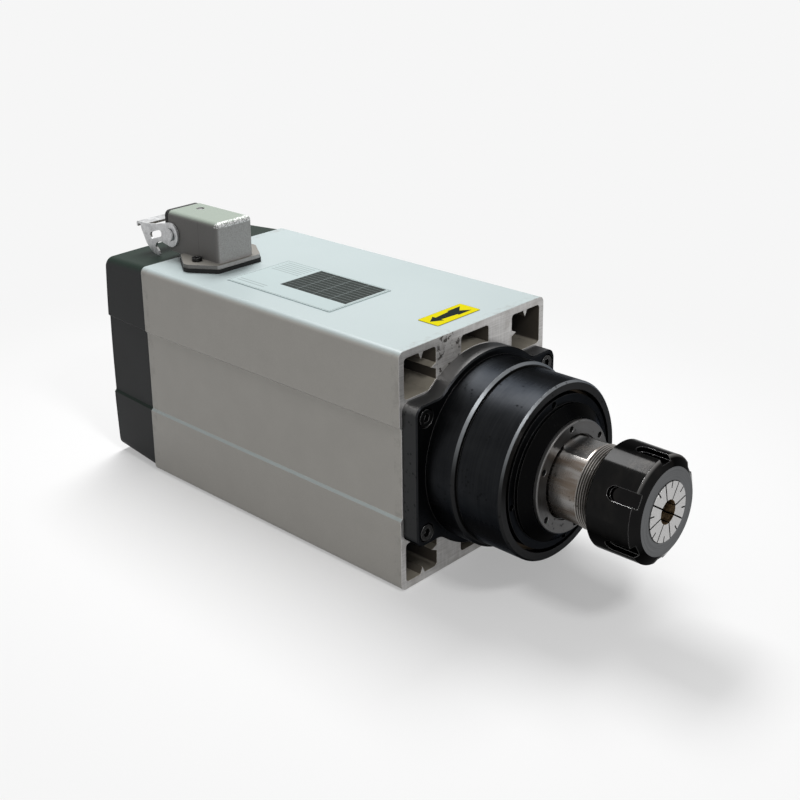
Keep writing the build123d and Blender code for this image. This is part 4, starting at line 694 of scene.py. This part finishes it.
film = Finish("plate_film")
print_grain = film.noise(800.0, 2.0)
across, along = abs(film.x - PLATE_MIDDLE[0]), abs(film.y - PLATE_MIDDLE[1])
outline = (across > OUTLINE_X - OUTLINE_WIDTH).highest(along > OUTLINE_Y - OUTLINE_WIDTH)
outline = outline * (across < OUTLINE_X) * (along < OUTLINE_Y)
column_line = ((film.x - BLOCK_X[0]) / CELL_LENGTH).fraction() < 0.024
row_line = ((film.y - BLOCK_Y[0]) / CELL_WIDTH).fraction() < 0.085
cells = film.x.within(*BLOCK_X) * film.y.within(*BLOCK_Y)
cells = cells * (1 - column_line.highest(row_line) * 0.35)
rules = film.x.within(*RULED_X) * (film.y.within(*RULED_NEAR) + film.y.within(*RULED_FAR))
rules = rules * ((film.y / RULE_PITCH).fraction() < 0.30)
ink = cells.highest(outline * 0.8).highest(rules * 0.35)
film_tone = film.mix(print_grain, colour(0.415, 0.488, 0.490), colour(0.440, 0.513, 0.515))
film.feed(
    Base_Color=film.mix(ink, film_tone, colour(0.006, 0.011, 0.009)),
    Roughness=0.55 + print_grain * 0.1,
    Specular_IOR_Level=0.12,
)
film.on("rating_plate")


# Turning arrow
# A yellow sticker beside the front edge with a thin black border and the black arrow of the
# turning direction: a pointed head, a shank that widens and a notched tail.
STICKER_MIDDLE, STICKER_HALF = middle_and_half("arrow_label")
BORDER = 0.00025
ARROW_TIP = -0.0168
ARROW_MIDDLE = 0.0986
MILLIMETRES = 1000.0

sticker = Finish("yellow_sticker")
gloss_grain = sticker.noise(700.0, 2.0)
reach = (sticker.y - ARROW_TIP) * MILLIMETRES
off = abs(sticker.x - ARROW_MIDDLE) * MILLIMETRES
head = reach.within(0.0, 7.6) * (off < reach * 0.62)
shank = reach.within(6.0, 22.0) * (off < reach * 0.09 + 1.6)
tail = (reach > 20.6) * (reach - off * 1.25 < 26.6) * (off < 4.7)
arrow = head.highest(shank).highest(tail)
border = (abs(sticker.x - STICKER_MIDDLE[0]) > STICKER_HALF[0] - BORDER).highest(
    abs(sticker.y - STICKER_MIDDLE[1]) > STICKER_HALF[1] - BORDER
)
yellow = sticker.mix(gloss_grain, colour(0.62, 0.54, 0.0), colour(0.66, 0.58, 0.0))
sticker.feed(
    Base_Color=sticker.mix(arrow.highest(border * 0.6), yellow, colour(0.004, 0.010, 0.008)),
    Roughness=0.55 + gloss_grain * 0.1,
    Specular_IOR_Level=0.03,
)
sticker.on("arrow_label")


# Camera
# It stands where the photograph was taken from. The middle of its lens lies off the middle of the
# frame, as it does in a photograph that has been cropped.
CAMERA_PLACE = (0.58607, -0.55935, 0.41583)
AZIMUTH, ELEVATION, ROLL = math.radians(45.565), math.radians(17.924), math.radians(-1.444)
FRAME_PIXELS = 800.0
FOCAL_PIXELS = 1320.0
LENS_MIDDLE_PIXELS = (350.0, 275.0)
SENSOR_WIDTH = 36.0

lens = bpy.data.cameras.new("camera")
camera = bpy.data.objects.new("camera", lens)
bpy.context.collection.objects.link(camera)
bpy.context.scene.camera = camera
forward = np.array([
    -math.sin(AZIMUTH) * math.cos(ELEVATION), math.cos(AZIMUTH) * math.cos(ELEVATION),
    -math.sin(ELEVATION),
])
level_right = np.cross(forward, [0, 0, 1.0])
level_right /= np.linalg.norm(level_right)
level_up = np.cross(level_right, forward)
right = math.cos(ROLL) * level_right + math.sin(ROLL) * level_up
stand = np.eye(4)
stand[:3, 0], stand[:3, 1], stand[:3, 2] = right, np.cross(right, forward), -forward
stand[:3, 3] = CAMERA_PLACE
camera.matrix_world = Matrix(stand.tolist())
lens.sensor_width = SENSOR_WIDTH
lens.lens = FOCAL_PIXELS * SENSOR_WIDTH / FRAME_PIXELS
lens.shift_x = (FRAME_PIXELS / 2 - LENS_MIDDLE_PIXELS[0]) / FRAME_PIXELS
lens.shift_y = (LENS_MIDDLE_PIXELS[1] - FRAME_PIXELS / 2) / FRAME_PIXELS
bpy.context.scene.view_settings.view_transform = "Standard"


# White surround
# A seamless white room. It shows at the tone of the photograph's ground, and lights the object
# with less than a third of that.
GROUND_TONE = grey(0.922)
ROOM_LIGHT = 0.28

world = bpy.data.worlds.new("white_surround")
bpy.context.scene.world = world
world.use_nodes = True
surround = Recipe(world.node_tree)
sky = world.node_tree.nodes["Background"]
sky.inputs["Color"].default_value = GROUND_TONE
strength = ROOM_LIGHT + surround.shown() * (1 - ROOM_LIGHT)
world.node_tree.links.new(strength.socket, sky.inputs["Strength"])


# Floor
# A sheet of matt white paper under the object. It keeps the object's shadow, and away from it
# fades into the tone of the surround.
FLOOR_REACH = 9.0
FLOOR_DROP = 0.0005

floor_mesh = bpy.data.meshes.new("floor")
floor_corners = [
    (x * FLOOR_REACH, y * FLOOR_REACH, -FLOOR_DROP) for x, y in ((-1, -1), (1, -1), (1, 1), (-1, 1))
]
floor_mesh.from_pydata(floor_corners, [], [(0, 1, 2, 3)])
floor = bpy.data.objects.new("floor", floor_mesh)
bpy.context.collection.objects.link(floor)
paper = Finish("white_paper")
paper.feed(
    Base_Color=paper.mix(paper.shown(), grey(0.32), grey(0.90)), Roughness=0.9, Specular_IOR_Level=0.0
)
off_x, off_y = (paper.x - 0.04) * 0.8, paper.y
far = (off_x * off_x + off_y * off_y).root().soft(0.14, 0.46) * 0.65 + 0.35
glow = paper.node("Emission", {}, {0: GROUND_TONE, 1: 1.0})
plain_paper = Signal(paper, paper.shader.outputs[0])
blended = paper.node("MixShader", {}, {0: far * paper.shown(), 1: plain_paper, 2: glow})
paper.tree.links.new(blended.socket, paper.tree.nodes["Material Output"].inputs["Surface"])
floor_mesh.materials.append(paper.material)


# Lamps
# Three softboxes: a wide one above and behind the part, a small bright one above its nose that
# shows as the highlight on the nut, and a weak large one that fills the front.
def softbox(name, place, target, size, radiance):
    """A rectangular lamp at a place that faces a target. Its watts are radiance x pi x its area."""
    lamp = bpy.data.lights.new(name, "AREA")
    lamp.shape = "RECTANGLE"
    lamp.size, lamp.size_y = size
    lamp.energy = radiance * math.pi * size[0] * size[1]
    holder = bpy.data.objects.new(name, lamp)
    bpy.context.collection.objects.link(holder)
    back = np.array(place, float) - np.array(target, float)
    back /= np.linalg.norm(back)
    side = np.cross([1.0, 0, 0.2], back)
    side /= np.linalg.norm(side)
    stand = np.eye(4)
    stand[:3, 0], stand[:3, 1], stand[:3, 2], stand[:3, 3] = side, np.cross(back, side), back, place
    holder.matrix_world = Matrix(stand.tolist())


softbox("above_and_behind", (-0.39, 0.24, 1.00), (0.15, 0.0, 0.12), (0.60, 0.30), 18.5)
softbox("above_the_nose", (0.92, -0.25, 1.04), (0.15, 0.0, 0.10), (0.23, 0.23), 29.5)
softbox("front_fill", (0.80, -1.00, 0.45), (0.05, 0.0, 0.08), (0.80, 0.80), 1.0)
